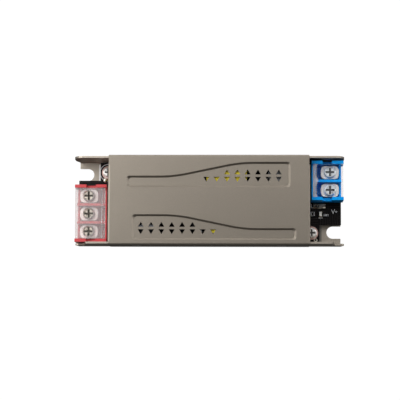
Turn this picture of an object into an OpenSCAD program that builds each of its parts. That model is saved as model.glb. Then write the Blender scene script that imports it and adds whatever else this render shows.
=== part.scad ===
// Slim open-ended LED power supply: a folded base channel with a vented, embossed cover,
// a circuit board with its power parts, and a screw terminal block at each end.
// X runs along the case from the input end to the output end, Z is up from the base.

/* [Base channel] */
// Length of the floor between the two open ends
floor_l = 140.2; // [136:0.2:160]
// Width over the two side walls
base_w = 46.4; // [46:0.2:54]
// Sheet thickness of the base
base_t = 1; // [0.8:0.1:1.1]
// Inside radius of the folds along the floor
fold_r = 0.5; // [0.3:0.1:0.8]
// How far the wall ends reach past the floor
wall_nose = 1.5; // [1:0.1:3]
// Height at which a wall end reaches its full length
nose_low = 8; // [6:0.5:9]
// Height at which the back wall's ends start to round over
nose_high = 14; // [10:0.5:16]
// Length of that rounding
nose_round = 4.4; // [3:0.2:5]
// Height of the front wall's low ends
lug_wall_h = 9.5; // [9.2:0.1:14]
// Length of the low ends, from the floor's end to the foot of the step
lug_wall_l = 3; // [2:0.2:4]
// Length of the curved step above them
step_l = 2.4; // [1.6:0.2:4]
// Width of the open mounting slots
slot_w = 6.6; // [4.4:0.2:7]
// Length of a mounting slot from the floor's end
slot_l = 7.5; // [6:0.5:8.5]
// Strip of floor left between a slot and the wall
slot_edge = 3.35; // [3:0.05:4]

/* [Cover] */
// Sheet thickness of the cover
cover_t = 0.5; // [0.4:0.1:0.8]
// Clearance between the cover and the base walls
cover_gap = 0.1; // [0.1:0.05:0.2]
// Inside radius of the cover's long folds
cover_fold_r = 0.3; // [0.2:0.05:0.3]
// Height of the lower edge of the cover's sides
cover_side_z = 7; // [4:0.5:9]
// Gap between a terminal block and the cover's end
cover_end_gap = 0.95; // [0.6:0.05:2]
// Outside radius of the rounded end lips
lip_r = 1.1; // [0.9:0.1:1.4]
// Height of the end lips
lip_h = 3; // [2:0.1:3.4]
// How far the corners are cut back behind the end lips
relief_in = 0.45; // [0.3:0.05:0.8]
// Length of the corner reliefs at the back
relief_back = 5.2; // [3:0.2:7]
// Length of the corner reliefs at the front
relief_front = 1.8; // [1.4:0.2:4]

/* [Embossed fields] */
// Depth of the pressed fields
field_d = 0.9; // [0.6:0.1:1.2]
// Width of the sloping rim of a field
field_rim = 1; // [0.8:0.1:1.4]
// Length of a field
field_l = 86.4; // [80:0.4:90]
// Width of a field at its narrow end
field_narrow = 6.2; // [5.6:0.1:7]
// Width of a field at its wide end
field_wide = 13.5; // [12.5:0.1:13.8]
// Radius of the fields' corners
field_r = 1.5; // [0.7:0.1:1.6]
// Length of the slanting stretch of the curved edge
ramp_l = 50; // [42:1:54]
// Place of the back field along the case
back_field_x = -0.2; // [-2:0.1:2]
// Place of its slanting stretch along the field
back_ramp_x = -1; // [-4:0.5:4]
// Place of the front field along the case
front_field_x = 2.8; // [0:0.1:4]
// Place of its slanting stretch along the field
front_ramp_x = 2; // [-4:0.5:4]
// Straight edge of the back field, from the centre line
back_field_y = 6.45; // [6:0.05:7]
// Straight edge of the front field, from the centre line
front_field_y = -21.3; // [-21.3:0.1:-20.6]

/* [Vents] */
// Distance between vent columns
vent_pitch = 5.45; // [5:0.05:5.7]
// Length of a vent triangle's straight side
vent_base = 3.1; // [2:0.1:3.2]
// Height of a vent triangle
vent_h = 2.6; // [1.6:0.1:2.7]
// Bar between the two triangles of a pair
vent_bar = 1.3; // [1:0.1:1.5]
// Number of paired columns in a field
vent_pairs = 6; // [3:1:6]
// Number of single columns beside the pairs
vent_singles = 2; // [0:1:2]
// Distance of the outer column from the back field's wide end
back_vent_end = 6.2; // [4:0.1:7]
// Distance of the outer column from the front field's wide end
front_vent_end = 4.6; // [4:0.1:7]
// Distance of the bars from the straight edge of a field
vent_y = 6.3; // [5.8:0.1:6.4]

/* [Board] */
// Thickness of the circuit board
board_t = 1.6; // [1:0.2:2]
// Height of the standoffs between floor and board
standoff_h = 3; // [2.8:0.1:5]
// Radius of the standoffs
standoff_r = 2.8; // [2.4:0.1:3]
// Gap between the board's long edges and the walls
board_gap = 0.6; // [0.2:0.1:0.8]
// How far the board reaches past the floor's ends
board_over = 0.1; // [0:0.1:1]
// Length of the board's corner cut-outs
cutout_l = 11.5; // [10.5:0.1:13]
// Gap between a mounting slot and the edge of the cut-out
cutout_gap = 0.35; // [0.2:0.05:0.6]
// Distance of a board screw from the end of its cut-out
board_screw_in = 4.2; // [4:0.1:6]
// Distance of a board screw from its slot's middle line, towards the wall
board_screw_out = 0.7; // [0:0.1:1]
// Radius of the board screws' shanks
board_screw_r = 1.5; // [1.2:0.1:1.5]
// Radius of the board screws' heads
board_head_r = 2.7; // [2.4:0.1:2.9]
// Height of the board screws' heads
board_head_h = 1.9; // [1.6:0.1:2.4]
// Radius of the washers under the board screws
washer_r = 3.5; // [3:0.1:3.7]
// Thickness of those washers
washer_t = 0.5; // [0.4:0.1:0.8]
// Thickness of the insulating film under the board
film_t = 0.4; // [0.2:0.05:0.5]
// How far the film shows past the end of a cut-out
film_lip = 1.3; // [1:0.1:2.2]
// Headroom above the board for the tallest part
headroom = 15.5; // [15.2:0.1:18]

/* [Terminal blocks] */
// Distance between poles
pole_pitch = 9.5; // [9.2:0.1:10]
// Thickness of the barriers between poles
barrier_t = 1.3; // [1.1:0.1:1.6]
// Thickness of the end walls
end_t = 1.6; // [1.4:0.1:2]
// Depth from the rear face to the wire side
block_d = 16.8; // [16.4:0.1:18]
// How far a block reaches past the floor's end
block_over = 1; // [0.5:0.1:1.4]
// Gap between the input block and the front wall
input_gap = 0.2; // [0.1:0.05:0.4]
// Gap between the output block and the back wall
output_gap = 1.1; // [0.6:0.1:2]
// Height of the lug seats above the board
seat_h = 5.4; // [5:0.1:6.4]
// Thickness of the lugs
lug_t = 0.8; // [0.6:0.1:1]
// Length of a lug
lug_l = 8.4; // [8:0.1:8.8]
// Width of a lug
lug_w = 6.2; // [5:0.1:7]
// Thickness of the front sill
sill_t = 1.1; // [0.8:0.1:1.4]
// Distance of the sill from the wire side
sill_in = 1.1; // [0.8:0.1:1.2]
// Height of the sill above the lugs
sill_rise = 0.2; // [0.1:0.05:0.4]
// Thickness of the rear wall
rear_t = 1.1; // [0.9:0.1:1.3]
// Room between a lug and the clear flap
cell_h = 5.5; // [5.4:0.1:6.5]
// Distance from the wire side to the screws
screw_in = 7.1; // [7:0.1:7.4]
// Length of a clamp plate
clamp_l = 9.4; // [8.4:0.1:9.5]
// Thickness of a clamp plate
clamp_t = 1; // [0.8:0.1:1.1]
// Side gap between a clamp plate and its cell
clamp_gap = 0.65; // [0.3:0.05:0.8]
// Radius of the terminal screws' shanks
shank_r = 1.7; // [1.4:0.05:1.75]
// Length of a terminal screw below its head
shank_l = 5; // [4.6:0.1:5.6]
// Radius of the terminal screws' heads
head_r = 3.2; // [2.9:0.1:3.4]
// Height of the terminal screws' heads
head_h = 2; // [1.6:0.1:2.1]

/* [Clear flaps] */
// Thickness of the flaps
flap_t = 1; // [0.8:0.1:1.2]
// Side gap between a flap and the end walls
flap_gap = 0.15; // [0.1:0.05:0.3]
// Distance of a flap's front edge from the wire side
flap_in = 0.3; // [0.1:0.1:0.5]
// Drop of the lip along a flap's front edge
flap_lip_h = 1; // [0.6:0.1:1]
// Thickness of that lip
flap_lip_t = 0.9; // [0.7:0.1:1.2]
// Radius of the hinge barrel
barrel_r = 1; // [0.9:0.05:1.2]
// Radius of the hinge pins
pin_r = 0.7; // [0.5:0.05:0.75]
// Length of the hinge pins
pin_l = 1; // [0.6:0.1:1.2]

/* [Transformer] */
// Width of the core
core_w = 20.5; // [18:0.5:20.5]
// Gap between the core's ends and the walls
core_gap = 1.2; // [1:0.1:2]
// Height of the core
core_h = 12.2; // [10:0.2:12.2]
// Thickness of the core's outer legs
core_leg = 3.2; // [2.6:0.1:3.6]
// Thickness of the core's end bars
core_bar = 4.2; // [3.6:0.1:5]
// Diameter of the core's middle leg
core_mid_d = 7; // [6:0.2:7.4]
// Thickness of the tape wrapped round the core
tape_t = 0.4; // [0.2:0.05:0.5]
// Distance from the core's ends to the tape
tape_in = 3.5; // [3:0.1:5]
// Height of the feet under the core
foot_h = 1.6; // [1.2:0.1:2]
// Place of the transformer along the case
core_x = 9.4; // [7:0.1:10]

/* [Power parts] */
// Radius of the bulk capacitor
bulk_r = 7; // [6:0.1:7.2]
// Length of the bulk capacitor
bulk_l = 26; // [22:0.5:30]
// Radius of the output capacitors
out_cap_r = 4; // [3.4:0.1:4.3]
// Height of the output capacitors
out_cap_h = 13; // [11:0.5:14]
// Distance between the output capacitors
out_cap_pitch = 9.4; // [9:0.1:9.8]
// Outside radius of the mains choke's core
choke_r = 7; // [6:0.1:7.2]
// Outside radius of the output inductor's core
inductor_r = 6.6; // [6:0.1:6.8]
// Height of the ring cores
ring_h = 5; // [4:0.2:6]
// Width of the ring cores' section
ring_w = 3; // [2.6:0.1:3.2]
// Thickness of the wire layer round the ring cores
wire_t = 1; // [0.8:0.1:1.2]
// Length of the filter capacitor
filter_cap_l = 18; // [15:0.5:18.5]
// Thickness of the filter capacitor
filter_cap_t = 8; // [6:0.5:8.5]
// Height of the filter capacitor
filter_cap_h = 13; // [11:0.5:14]
// Thickness of the heat-sink plates
sink_t = 1.2; // [1:0.1:1.4]
// Height of the heat-sink plates
sink_h = 14; // [13.5:0.1:14.5]
// Length of the heat-sink plates
sink_l = 18; // [16:0.5:18.5]
// Gap between the transformer and the heat sinks
sink_gap = 2.4; // [2:0.1:3]
// Gap between a terminal block and the parts next to it
block_part_gap = 2.3; // [2:0.1:3]
// Gap between neighbouring parts
part_gap = 1; // [0.8:0.1:1.2]
// Gap between the walls and the parts next to them
wall_part_gap = 0.9; // [0.8:0.1:1.2]

/* [Hidden] */
$fn = 48;

// Overshoot of a cut past the faces that it opens
over = 1;
// Smallest gap left between pieces that rest on one another
touch = 0.05;
// Running clearance of a screw or pin in its hole
run = 0.05;

// Colours
SHEET = "#8f8778";
BOARD = "#17181a";
RED = "#b83a40";
BLUE = "#0c6cae";
CLEAR = [0.9, 0.93, 0.95, 0.35];
STEEL = "#b9b7b2";
BLACK = "#222224";
COPPER = "#b87333";

// Heights of the stack, from the floor up
board_z = base_t + standoff_h;
board_top = board_z + board_t;
wall_h = board_top + headroom + field_d;
cover_z = wall_h + cover_gap;
cover_top = cover_z + cover_t;

// Widths across the case
inner_w = base_w - 2 * base_t;
cover_w = base_w + 2 * (cover_gap + cover_t);
board_w = inner_w - 2 * board_gap;

// Places along the case
board_l = floor_l + 2 * board_over;
block_rear = floor_l / 2 + block_over - block_d;
cover_l = 2 * (block_rear - cover_end_gap);
slot_y = inner_w / 2 - slot_edge - slot_w / 2;
cutout_x = board_l / 2 - cutout_l;
cutout_y = slot_y - slot_w / 2 - cutout_gap;
board_screw_x = cutout_x - board_screw_in;

// Countersunk cover screws, flush with the cover's sides
cover_screw_in = 15;
cover_screw_x = cover_l / 2 - cover_screw_in;
cover_screw_z = 14;
cover_screw_r = 1.4;
cover_screw_head_r = 2.7;
cover_screw_reach = 0.5;
cover_screw_l = cover_t + cover_gap + base_t + cover_screw_reach;
cover_screw_cone = cover_screw_head_r - cover_screw_r;

// Levels and places inside a terminal block, from the board and the rear face
lug_top = seat_h + lug_t;
flap_z = lug_top + cell_h;
flap_top = flap_z + flap_t;
hinge_x = barrel_r + 0.6;
hinge_z = flap_top - barrel_r;
barrier_h = flap_top - 2 * barrel_r - 0.3;
end_wall_h = flap_top + 0.2;
end_notch = [5.7, 10.7];
end_notch_d = 6;
sill_x = block_d - sill_in - sill_t;
screw_x = block_d - screw_in;
cell_w = pole_pitch - barrier_t;
well_r = shank_r + 0.45;
well_floor = 0.8;
cell_floor = 1.2;
leg_x = screw_x - lug_l / 2;
leg_t = 0.8;
leg_w = 4;
leg_below = 1.4;
hole_room = 0.12;
clamp_w = cell_w - 2 * clamp_gap;
clamp_z = lug_top + touch;
head_z = clamp_z + clamp_t + touch;
input_y = input_gap + (block_w(3) - inner_w) / 2;
output_y = (inner_w - block_w(2)) / 2 - output_gap;

// Cross recesses, their arms as shares of the head's radius
recess_arm = 0.72;
recess_width = 0.34;
recess_depth = 1.2;

// Transformer across the case, with a heat sink on each side
core_l = inner_w - 2 * core_gap;
tape_l = core_l - 2 * tape_in;
core_side = core_w / 2 + tape_t;
sink_y = sink_l / 2 + 2.2 - inner_w / 2;
primary_sink_x = core_x - core_side - sink_gap - sink_t / 2;
secondary_sink_x = core_x + core_side + sink_gap + sink_t / 2;

// Small parts on the board
disc_t = 3;
varistor_r = 5;
varistor_t = 4;
thermistor_r = 3.2;
safety_cap_r = 3.4;
fuse_l = 12;
fuse_r = 2.4;
bridge_w = 14;
bridge_h = 12;
bridge_t = 3.6;
bridge_corner = 2.5;

// Input side: bulk capacitor along the front wall
bulk_end_x = bulk_l + block_part_gap - block_rear;
bulk_y = bulk_r + wall_part_gap - inner_w / 2;
bulk_back = bulk_y + bulk_r;

// Input side: fuse, filter capacitor, choke and bridge in a row along the back wall
fuse_x = fuse_r + block_part_gap - block_rear;
fuse_y = bulk_back + 2 * wall_part_gap + fuse_l / 2;
filter_cap_x = fuse_x + fuse_r + part_gap + filter_cap_t / 2;
filter_cap_y = inner_w / 2 - 2 * wall_part_gap - filter_cap_l / 2;
choke_x = filter_cap_x + filter_cap_t / 2 + part_gap + choke_r + wire_t;
choke_y = inner_w / 2 - 3 * wall_part_gap - choke_r - wire_t;
bridge_x = choke_x + choke_r + wire_t + part_gap + bridge_t / 2;
bridge_y = inner_w / 2 - 3 * wall_part_gap - bridge_w / 2;

// Input side: two discs between that row and the bulk capacitor
thermistor_x = fuse_x + fuse_r + part_gap + thermistor_r;
thermistor_y = bulk_back + part_gap + disc_t / 2;
varistor_x = filter_cap_x + filter_cap_t / 2 + part_gap + varistor_r;
varistor_y = bulk_back + part_gap + varistor_t / 2;

// Output side: safety capacitor at the back wall, output capacitors before it, inductor at the front wall
safety_cap_x = secondary_sink_x + sink_t / 2 + safety_cap_r;
safety_cap_y = inner_w / 2 - wall_part_gap - disc_t / 2;
out_cap_gap = 6.3;
out_cap_x = block_rear - out_cap_gap - out_cap_r - out_cap_pitch;
out_cap_y = safety_cap_y - disc_t / 2 - part_gap - out_cap_r;
inductor_x = board_screw_x - washer_r - part_gap - inductor_r - wire_t;
inductor_y = inductor_r + wire_t + wall_part_gap - inner_w / 2;

function block_w(poles) = poles * pole_pitch - barrier_t + 2 * end_t;
function pole_y(poles, k) = ((poles + 1) / 2 - k) * pole_pitch;

// A share of the way from 0 to 1, with both ends of the rise rounded over a share e
function eased(t, e) =
    t <= 0 ? 0 :
    t >= 1 ? 1 :
    t < e ? t * t / (2 * e * (1 - e)) :
    t > 1 - e ? 1 - (1 - t) * (1 - t) / (2 * e * (1 - e)) :
    (t - e / 2) / (1 - e);

function arc(x, y, r, from, to, steps) =
    [for (i = [0:steps]) let (a = from + (to - from) * i / steps) [x + r * cos(a), y + r * sin(a)]];

function mirrored(points) = [for (i = [len(points) - 1:-1:0]) [-points[i][0], points[i][1]]];

// A box given by its limits along each axis
module span(x, y, z) {
    translate([x[0], y[0], z[0]]) cube([x[1] - x[0], y[1] - y[0], z[1] - z[0]]);
}

// A box with its upright edges rounded, standing on the XY plane
module rounded_slab(l, w, h, r) {
    linear_extrude(h) {
        square([l - 2 * r, w], center = true);
        square([l, w - 2 * r], center = true);
        for (x = [-1, 1], y = [-1, 1]) translate([x * (l / 2 - r), y * (w / 2 - r)]) circle(r);
    }
}

// Solid between two outlines with the same number of points
module loft(low, low_z, high, high_z) {
    n = len(low);
    polyhedron(
        points = concat([for (p = low) [p[0], p[1], low_z]], [for (p = high) [p[0], p[1], high_z]]),
        faces = concat(
            [[for (i = [0:n - 1]) i]],
            [[for (i = [n - 1:-1:0]) n + i]],
            [for (i = [0:n - 1]) [i, n + i, n + (i + 1) % n, (i + 1) % n]]
        )
    );
}

// The same thing at the input corner and, turned half round, at the output corner
module both_corners() {
    children();
    rotate([0, 0, 180]) children();
}

// The same thing at the output end and, mirrored, at the input end
module both_ends() {
    children();
    mirror([1, 0, 0]) children();
}

// Section with two rounded lower corners
module tub(w, h, r) {
    translate([-w / 2, r]) square([w, h - r]);
    translate([r - w / 2, 0]) square([w - 2 * r, h]);
    for (side = [-1, 1]) translate([side * (w / 2 - r), r]) circle(r);
}

// Cross recess of a screw head, sunk along +Z from the origin's plane
module head_recess(r) {
    arm = recess_arm * r;
    width = recess_width * r;
    for (a = [0, 90]) rotate([0, 0, a])
        translate([-arm, -width / 2, -over]) cube([2 * arm, width, recess_depth + over]);
}

// Screw head with a rounded edge on top
module pan_head(r, h) {
    edge = 0.35 * h;
    rotate_extrude() {
        square([r, h - edge]);
        square([r - edge, h]);
        translate([r - edge, h - edge]) circle(edge);
    }
}

// Base channel

nose_x = floor_l / 2 + wall_nose;
wall_foot = [[floor_l / 2, 0], [floor_l / 2, fold_r + base_t], [nose_x, nose_low]];

// Upper part of a back wall end: a long rounding
function back_end() = concat(wall_foot, [
    for (p = arc(0, 0, 1, 0, 90, 8))
        [nose_x - nose_round * (1 - p[0]), nose_high + (wall_h - nose_high) * p[1]]
]);

// Upper part of a front wall end: a low rounded lug, then a curved step up to the full height
function front_end() = let (
    foot_x = floor_l / 2 - lug_wall_l,
    round = lug_wall_h - nose_low,
    parts = 10
) concat(wall_foot, arc(nose_x - round, nose_low, round, 10, 90, 6), [
    for (i = [0:parts])
        [foot_x - step_l * i / parts, lug_wall_h + (wall_h - lug_wall_h) * eased(i / parts, 0.35)]
]);

module wall_side(end, y0) {
    translate([0, y0 + base_w, 0]) rotate([90, 0, 0])
        linear_extrude(base_w) polygon(concat(end, mirrored(end)));
}

// Mounting slot, open at the input end of the floor
module slot_cut() {
    translate([slot_l - floor_l / 2 - slot_w / 2, slot_y, -over]) {
        cylinder(r = slot_w / 2, h = base_t + 2 * over);
        translate([-slot_l, -slot_w / 2, 0]) cube([slot_l, slot_w, base_t + 2 * over]);
    }
}

// Countersunk screw along +Y with its flat head in the XZ plane; grow widens it into its hole
module cover_screw_form(grow) {
    rotate([-90, 0, 0]) {
        cylinder(r1 = cover_screw_head_r + grow, r2 = cover_screw_r + grow, h = cover_screw_cone);
        cylinder(r = cover_screw_r + grow, h = cover_screw_l);
    }
}

module cover_screw_places() {
    for (x = [-1, 1]) both_corners()
        translate([x * cover_screw_x, -cover_w / 2, cover_screw_z]) children();
}

module base_channel() {
    color(SHEET) difference() {
        intersection() {
            rotate([90, 0, 90]) linear_extrude(2 * nose_x + over, center = true) difference() {
                tub(base_w, wall_h, fold_r + base_t);
                translate([0, base_t]) tub(inner_w, wall_h, fold_r);
            }
            union() {
                wall_side(back_end(), 0);
                wall_side(front_end(), -base_w);
            }
        }
        both_corners() slot_cut();
        cover_screw_places() cover_screw_form(run);
    }
}

// Cover

// Stretch of an end, across the case, that carries its lip
lip_y = [relief_front - cover_w / 2, cover_w / 2 - relief_back];

module cover_shell() {
    rotate([90, 0, 90]) linear_extrude(cover_l - 2 * relief_in, center = true)
        translate([0, cover_top]) mirror([0, 1]) difference() {
            tub(cover_w, cover_top - cover_side_z, cover_fold_r + cover_t);
            translate([0, cover_t]) tub(cover_w - 2 * cover_t, cover_top, cover_fold_r);
        }
}

// Rounded lip bent down at the +X end
module end_lip() {
    translate([cover_l / 2 - lip_r, lip_y[1], cover_top - lip_r]) rotate([90, 0, 0])
        linear_extrude(lip_y[1] - lip_y[0]) {
            intersection() {
                difference() {
                    circle(lip_r);
                    circle(lip_r - cover_t);
                }
                square(lip_r);
            }
            translate([lip_r - cover_t, lip_r - lip_h]) square([cover_t, lip_h - lip_r]);
        }
}

// Outline of a pressed field, drawn in by inset: straight edge on the X axis, wide end at +X.
// It starts at the wide end of the straight edge, from where every other point is in sight.
function field_outline(inset, ramp_x) = let (
    x0 = inset - field_l / 2,
    x1 = field_l / 2 - inset,
    low = field_narrow - inset,
    high = field_wide - inset,
    steps = 20
) concat(
    arc(x1 - field_r, inset + field_r, field_r, 270, 360, 4),
    arc(x1 - field_r, high - field_r, field_r, 0, 90, 4),
    [for (i = [steps:-1:0])
        [ramp_x + ramp_l * (i / steps - 0.5), low + (high - low) * eased(i / steps, 0.3)]],
    arc(x0 + field_r, low - field_r, field_r, 90, 180, 4),
    arc(x0 + field_r, inset + field_r, field_r, 180, 270, 4)
);

// Sheet that the press pushes down, and the hollow that it leaves above
field_slope = field_rim / field_d;
sheet_shift = cover_t * field_rim / (field_rim + 2 * field_d);

module field_sheet(ramp_x) {
    inside = cover_t / 2;
    loft(
        field_outline(field_rim - sheet_shift, ramp_x),
        cover_z - field_d,
        field_outline(-sheet_shift - inside * field_slope, ramp_x),
        cover_z + inside
    );
}

module field_hollow(ramp_x) {
    loft(
        field_outline(field_rim, ramp_x),
        cover_top - field_d,
        field_outline(-over * field_slope, ramp_x),
        cover_top + over
    );
}

// One vent triangle on either side of its bar; turn gives the side
module vent(turn) {
    translate([0, vent_y + turn * vent_bar / 2, cover_z - field_d - over]) linear_extrude(cover_t + 2 * over)
        polygon([[-vent_base / 2, 0], [vent_base / 2, 0], [0, turn * vent_h]]);
}

// Vent columns of a field, from its wide end inwards: pairs, then single triangles where the field narrows
module field_vents(end_gap) {
    outer = field_l / 2 - end_gap;
    for (i = [0:vent_pairs + vent_singles - 1]) translate([outer - i * vent_pitch, 0, 0]) {
        vent(-1);
        if (i < vent_pairs) vent(1);
    }
}

module back_field() translate([back_field_x, back_field_y, 0]) children();
module front_field() translate([front_field_x, front_field_y, 0]) mirror([1, 0, 0]) children();

module top_cover() {
    color(SHEET) difference() {
        union() {
            difference() {
                cover_shell();
                both_ends() span(
                    [cover_l / 2 - lip_r, cover_l / 2 + over],
                    lip_y,
                    [cover_z - over, cover_top + over]
                );
            }
            both_ends() end_lip();
            back_field() field_sheet(back_ramp_x);
            front_field() field_sheet(front_ramp_x);
        }
        back_field() field_hollow(back_ramp_x);
        front_field() field_hollow(front_ramp_x);
        back_field() field_vents(back_vent_end);
        front_field() field_vents(front_vent_end);
        cover_screw_places() cover_screw_form(run);
    }
}

module cover_screws() {
    color(STEEL) cover_screw_places() cover_screw_form(0);
}

// Board and what carries it

// Board outline; lip lets a sheet under the board show past the ends of its cut-outs
module board_outline(l, w, lip) {
    difference() {
        square([l, w], center = true);
        both_corners() translate([-l / 2 - over, cutout_y]) square([l / 2 - cutout_x - lip + over, w]);
    }
}

// Screwed standoffs beside the cut-outs, plain ones at the other two corners
module screw_places() {
    both_corners() translate([-board_screw_x, slot_y + board_screw_out, 0]) children();
}

module standoff_places() {
    screw_places() children();
    both_corners() translate([2 * standoff_r - block_rear, -slot_y, 0]) children();
}

module insulating_film() {
    color("#dcdcd8") difference() {
        translate([0, 0, base_t]) linear_extrude(film_t)
            board_outline(floor_l - 2 * fold_r, board_w - 2 * fold_r, film_lip);
        standoff_places() cylinder(r = standoff_r + 0.3, h = board_z);
    }
}

module board_standoffs() {
    color(STEEL) standoff_places() translate([0, 0, base_t]) difference() {
        cylinder(r = standoff_r, h = standoff_h);
        translate([0, 0, -over]) cylinder(r = board_screw_r + run, h = standoff_h + 2 * over);
    }
}

module circuit_board() {
    color(BOARD) difference() {
        translate([0, 0, board_z]) linear_extrude(board_t) board_outline(board_l, board_w, 0);
        screw_places() translate([0, 0, board_z - over])
            cylinder(r = board_screw_r + run, h = board_t + 2 * over);
        output_place() for (k = [1:2]) translate([0, pole_y(2, k), 0]) lug_leg(hole_room);
        input_place() for (k = [1:3]) translate([0, pole_y(3, k), 0]) lug_leg(hole_room);
        part_leads(hole_room);
    }
}

module board_screws() {
    reach = board_t + standoff_h - 0.4;
    color(STEEL) screw_places() translate([0, 0, board_top]) difference() {
        union() {
            cylinder(r = washer_r, h = washer_t);
            translate([0, 0, washer_t]) pan_head(board_head_r, board_head_h);
            translate([0, 0, -reach]) cylinder(r = board_screw_r, h = reach + washer_t);
        }
        translate([0, 0, washer_t + board_head_h]) mirror([0, 0, 1]) head_recess(board_head_r);
    }
}

// Terminal blocks: x runs from the rear face to the wire side, poles lie along y, z is up from the board

module output_place() translate([block_rear, output_y, board_top]) children();
module input_place() translate([-block_rear, input_y, board_top]) rotate([0, 0, 180]) children();

// Solder leg of a lug; room widens it into its slot
module lug_leg(room) {
    span(
        [leg_x - room, leg_x + leg_t + room],
        [-leg_w / 2 - room, leg_w / 2 + room],
        [-board_t - leg_below - room, lug_top]
    );
}

module end_wall(side, w) {
    y = side * (w - end_t) / 2;
    difference() {
        span([0, block_d], [y - end_t / 2, y + end_t / 2], [0, end_wall_h]);
        span(end_notch, [y - end_t, y + end_t], [end_wall_h - end_notch_d, end_wall_h + over]);
    }
}

// Block with deep cells: a floor, a pedestal under each lug, a sill, a rear wall and barriers
module block_body(poles) {
    w = block_w(poles);
    across = [-w / 2, w / 2];
    difference() {
        union() {
            span([0, sill_x + sill_t], across, [0, cell_floor]);
            span([sill_x, sill_x + sill_t], across, [0, lug_top + sill_rise]);
            span([0, rear_t], across, [0, barrier_h]);
            for (side = [-1, 1]) end_wall(side, w);
            for (k = [1:poles - 1]) translate([0, pole_y(poles, k) - pole_pitch / 2, 0])
                span([0, sill_x + sill_t], [-barrier_t / 2, barrier_t / 2], [0, barrier_h]);
            for (k = [1:poles]) translate([0, pole_y(poles, k), 0])
                span([leg_x, sill_x + over], lug_w / 2 * [-1, 1], [0, seat_h]);
        }
        for (k = [1:poles]) translate([0, pole_y(poles, k), 0]) {
            translate([screw_x, 0, well_floor]) cylinder(r = well_r, h = seat_h);
            lug_leg(hole_room);
        }
        translate([hinge_x, 0, hinge_z]) rotate([90, 0, 0])
            cylinder(r = pin_r + run, h = w - 2 * end_t + 2 * pin_l, center = true);
    }
}

module lug() {
    difference() {
        union() {
            span([leg_x, leg_x + lug_l], lug_w / 2 * [-1, 1], [seat_h, lug_top]);
            lug_leg(0);
        }
        translate([screw_x, 0, 0]) cylinder(r = shank_r + run, h = lug_top + over);
    }
}

// Clamp plate with gripping grooves across its underside
module clamp_plate() {
    groove = 0.5;
    clamp_corner = 2.4;
    translate([screw_x, 0, clamp_z]) difference() {
        rounded_slab(clamp_l, clamp_w, clamp_t, clamp_corner);
        translate([0, 0, -over]) cylinder(r = shank_r + 2 * run, h = clamp_t + 2 * over);
        for (side = [-1, 1], i = [0:1])
            translate([side * (clamp_l / 2 - 0.9 - 1.2 * i), 0, 0]) rotate([0, 45, 0])
                cube([groove, clamp_w + over, groove], center = true);
    }
}

module terminal_screw() {
    translate([screw_x, 0, head_z]) difference() {
        union() {
            pan_head(head_r, head_h);
            translate([0, 0, -shank_l]) cylinder(r = shank_r, h = shank_l);
        }
        translate([0, 0, head_h]) mirror([0, 0, 1]) head_recess(head_r);
    }
}

module flap(poles) {
    w = block_w(poles) - 2 * end_t - 2 * flap_gap;
    across = [-w / 2, w / 2];
    front = block_d - flap_in;
    span([hinge_x, front], across, [flap_z, flap_top]);
    span([front - flap_lip_t, front], across, [flap_z - flap_lip_h, flap_top]);
    translate([hinge_x, 0, hinge_z]) rotate([90, 0, 0]) {
        cylinder(r = barrel_r, h = w, center = true);
        cylinder(r = pin_r, h = w + 2 * pin_l, center = true);
    }
}

module input_block() color(RED) input_place() block_body(3);
module input_flap() color(CLEAR) input_place() flap(3);
module input_lugs() color(STEEL) input_place() for (k = [1:3]) translate([0, pole_y(3, k), 0]) lug();
module input_screw(k) color(STEEL) input_place() translate([0, -pole_y(3, k), 0]) terminal_screw();
module input_clamp(k) color(STEEL) input_place() translate([0, -pole_y(3, k), 0]) clamp_plate();
module output_block() color(BLUE) output_place() block_body(2);
module output_flap() color(CLEAR) output_place() flap(2);
module output_lugs() color(STEEL) output_place() for (k = [1:2]) translate([0, pole_y(2, k), 0]) lug();
module output_screw(k) color(STEEL) output_place() translate([0, pole_y(2, k), 0]) terminal_screw();
module output_clamp(k) color(STEEL) output_place() translate([0, pole_y(2, k), 0]) clamp_plate();

// Leads of the parts on the board; room widens them into the board's holes

lead_stub = 0.8;

// A row of leads along Y through the board
module lead_row(count, pitch, r, up, room) {
    for (i = [0:count - 1]) translate([0, (i - (count - 1) / 2) * pitch, -board_t - lead_stub])
        cylinder(r = r + room, h = board_t + lead_stub + up);
}

module part_leads(room) {
    transformer_pins(room);
    bulk_leads(room);
    output_capacitor_leads(room);
    choke_leads(room);
    inductor_leads(room);
    filter_capacitor_leads(room);
    safety_capacitor_leads(room);
    varistor_leads(room);
    thermistor_leads(room);
    fuse_leads(room);
    bridge_leads(room);
    sink_pins(primary_sink_x, room);
    sink_pins(secondary_sink_x, room);
    switching_place() package_legs(room);
    rectifier_place() package_legs(room);
}

// Transformer, its long axis across the case

core_z = board_top + foot_h + tape_t;
coil_room = 0.3;
flange_t = 1;
coil_w = core_w - 2 * core_leg - 2 * coil_room;
coil_l = core_l - 2 * core_bar - 2 * touch;
sleeve_r = core_mid_d / 2 + coil_room;
foot_l = (core_l - tape_l) / 2 - coil_room;

module core_place() translate([core_x, 0, core_z + core_h / 2]) rotate([90, 0, 0]) children();

module transformer_pins(room) {
    for (side = [-1, 1]) translate([core_x, side * (core_l - foot_l) / 2, board_top])
        rotate([0, 0, 90]) lead_row(5, core_w / 6, 0.4, touch + over, room);
}

module transformer_core() {
    leg_l = core_l - 2 * core_bar;
    color("#3b3c40") core_place() {
        for (side = [-1, 1]) {
            translate([0, 0, side * (core_l - core_bar) / 2]) cube([core_w, core_h, core_bar], center = true);
            translate([side * (core_w - core_leg) / 2, 0, 0]) cube([core_leg, core_h, leg_l], center = true);
        }
        cylinder(d = core_mid_d, h = leg_l, center = true);
    }
}

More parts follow.
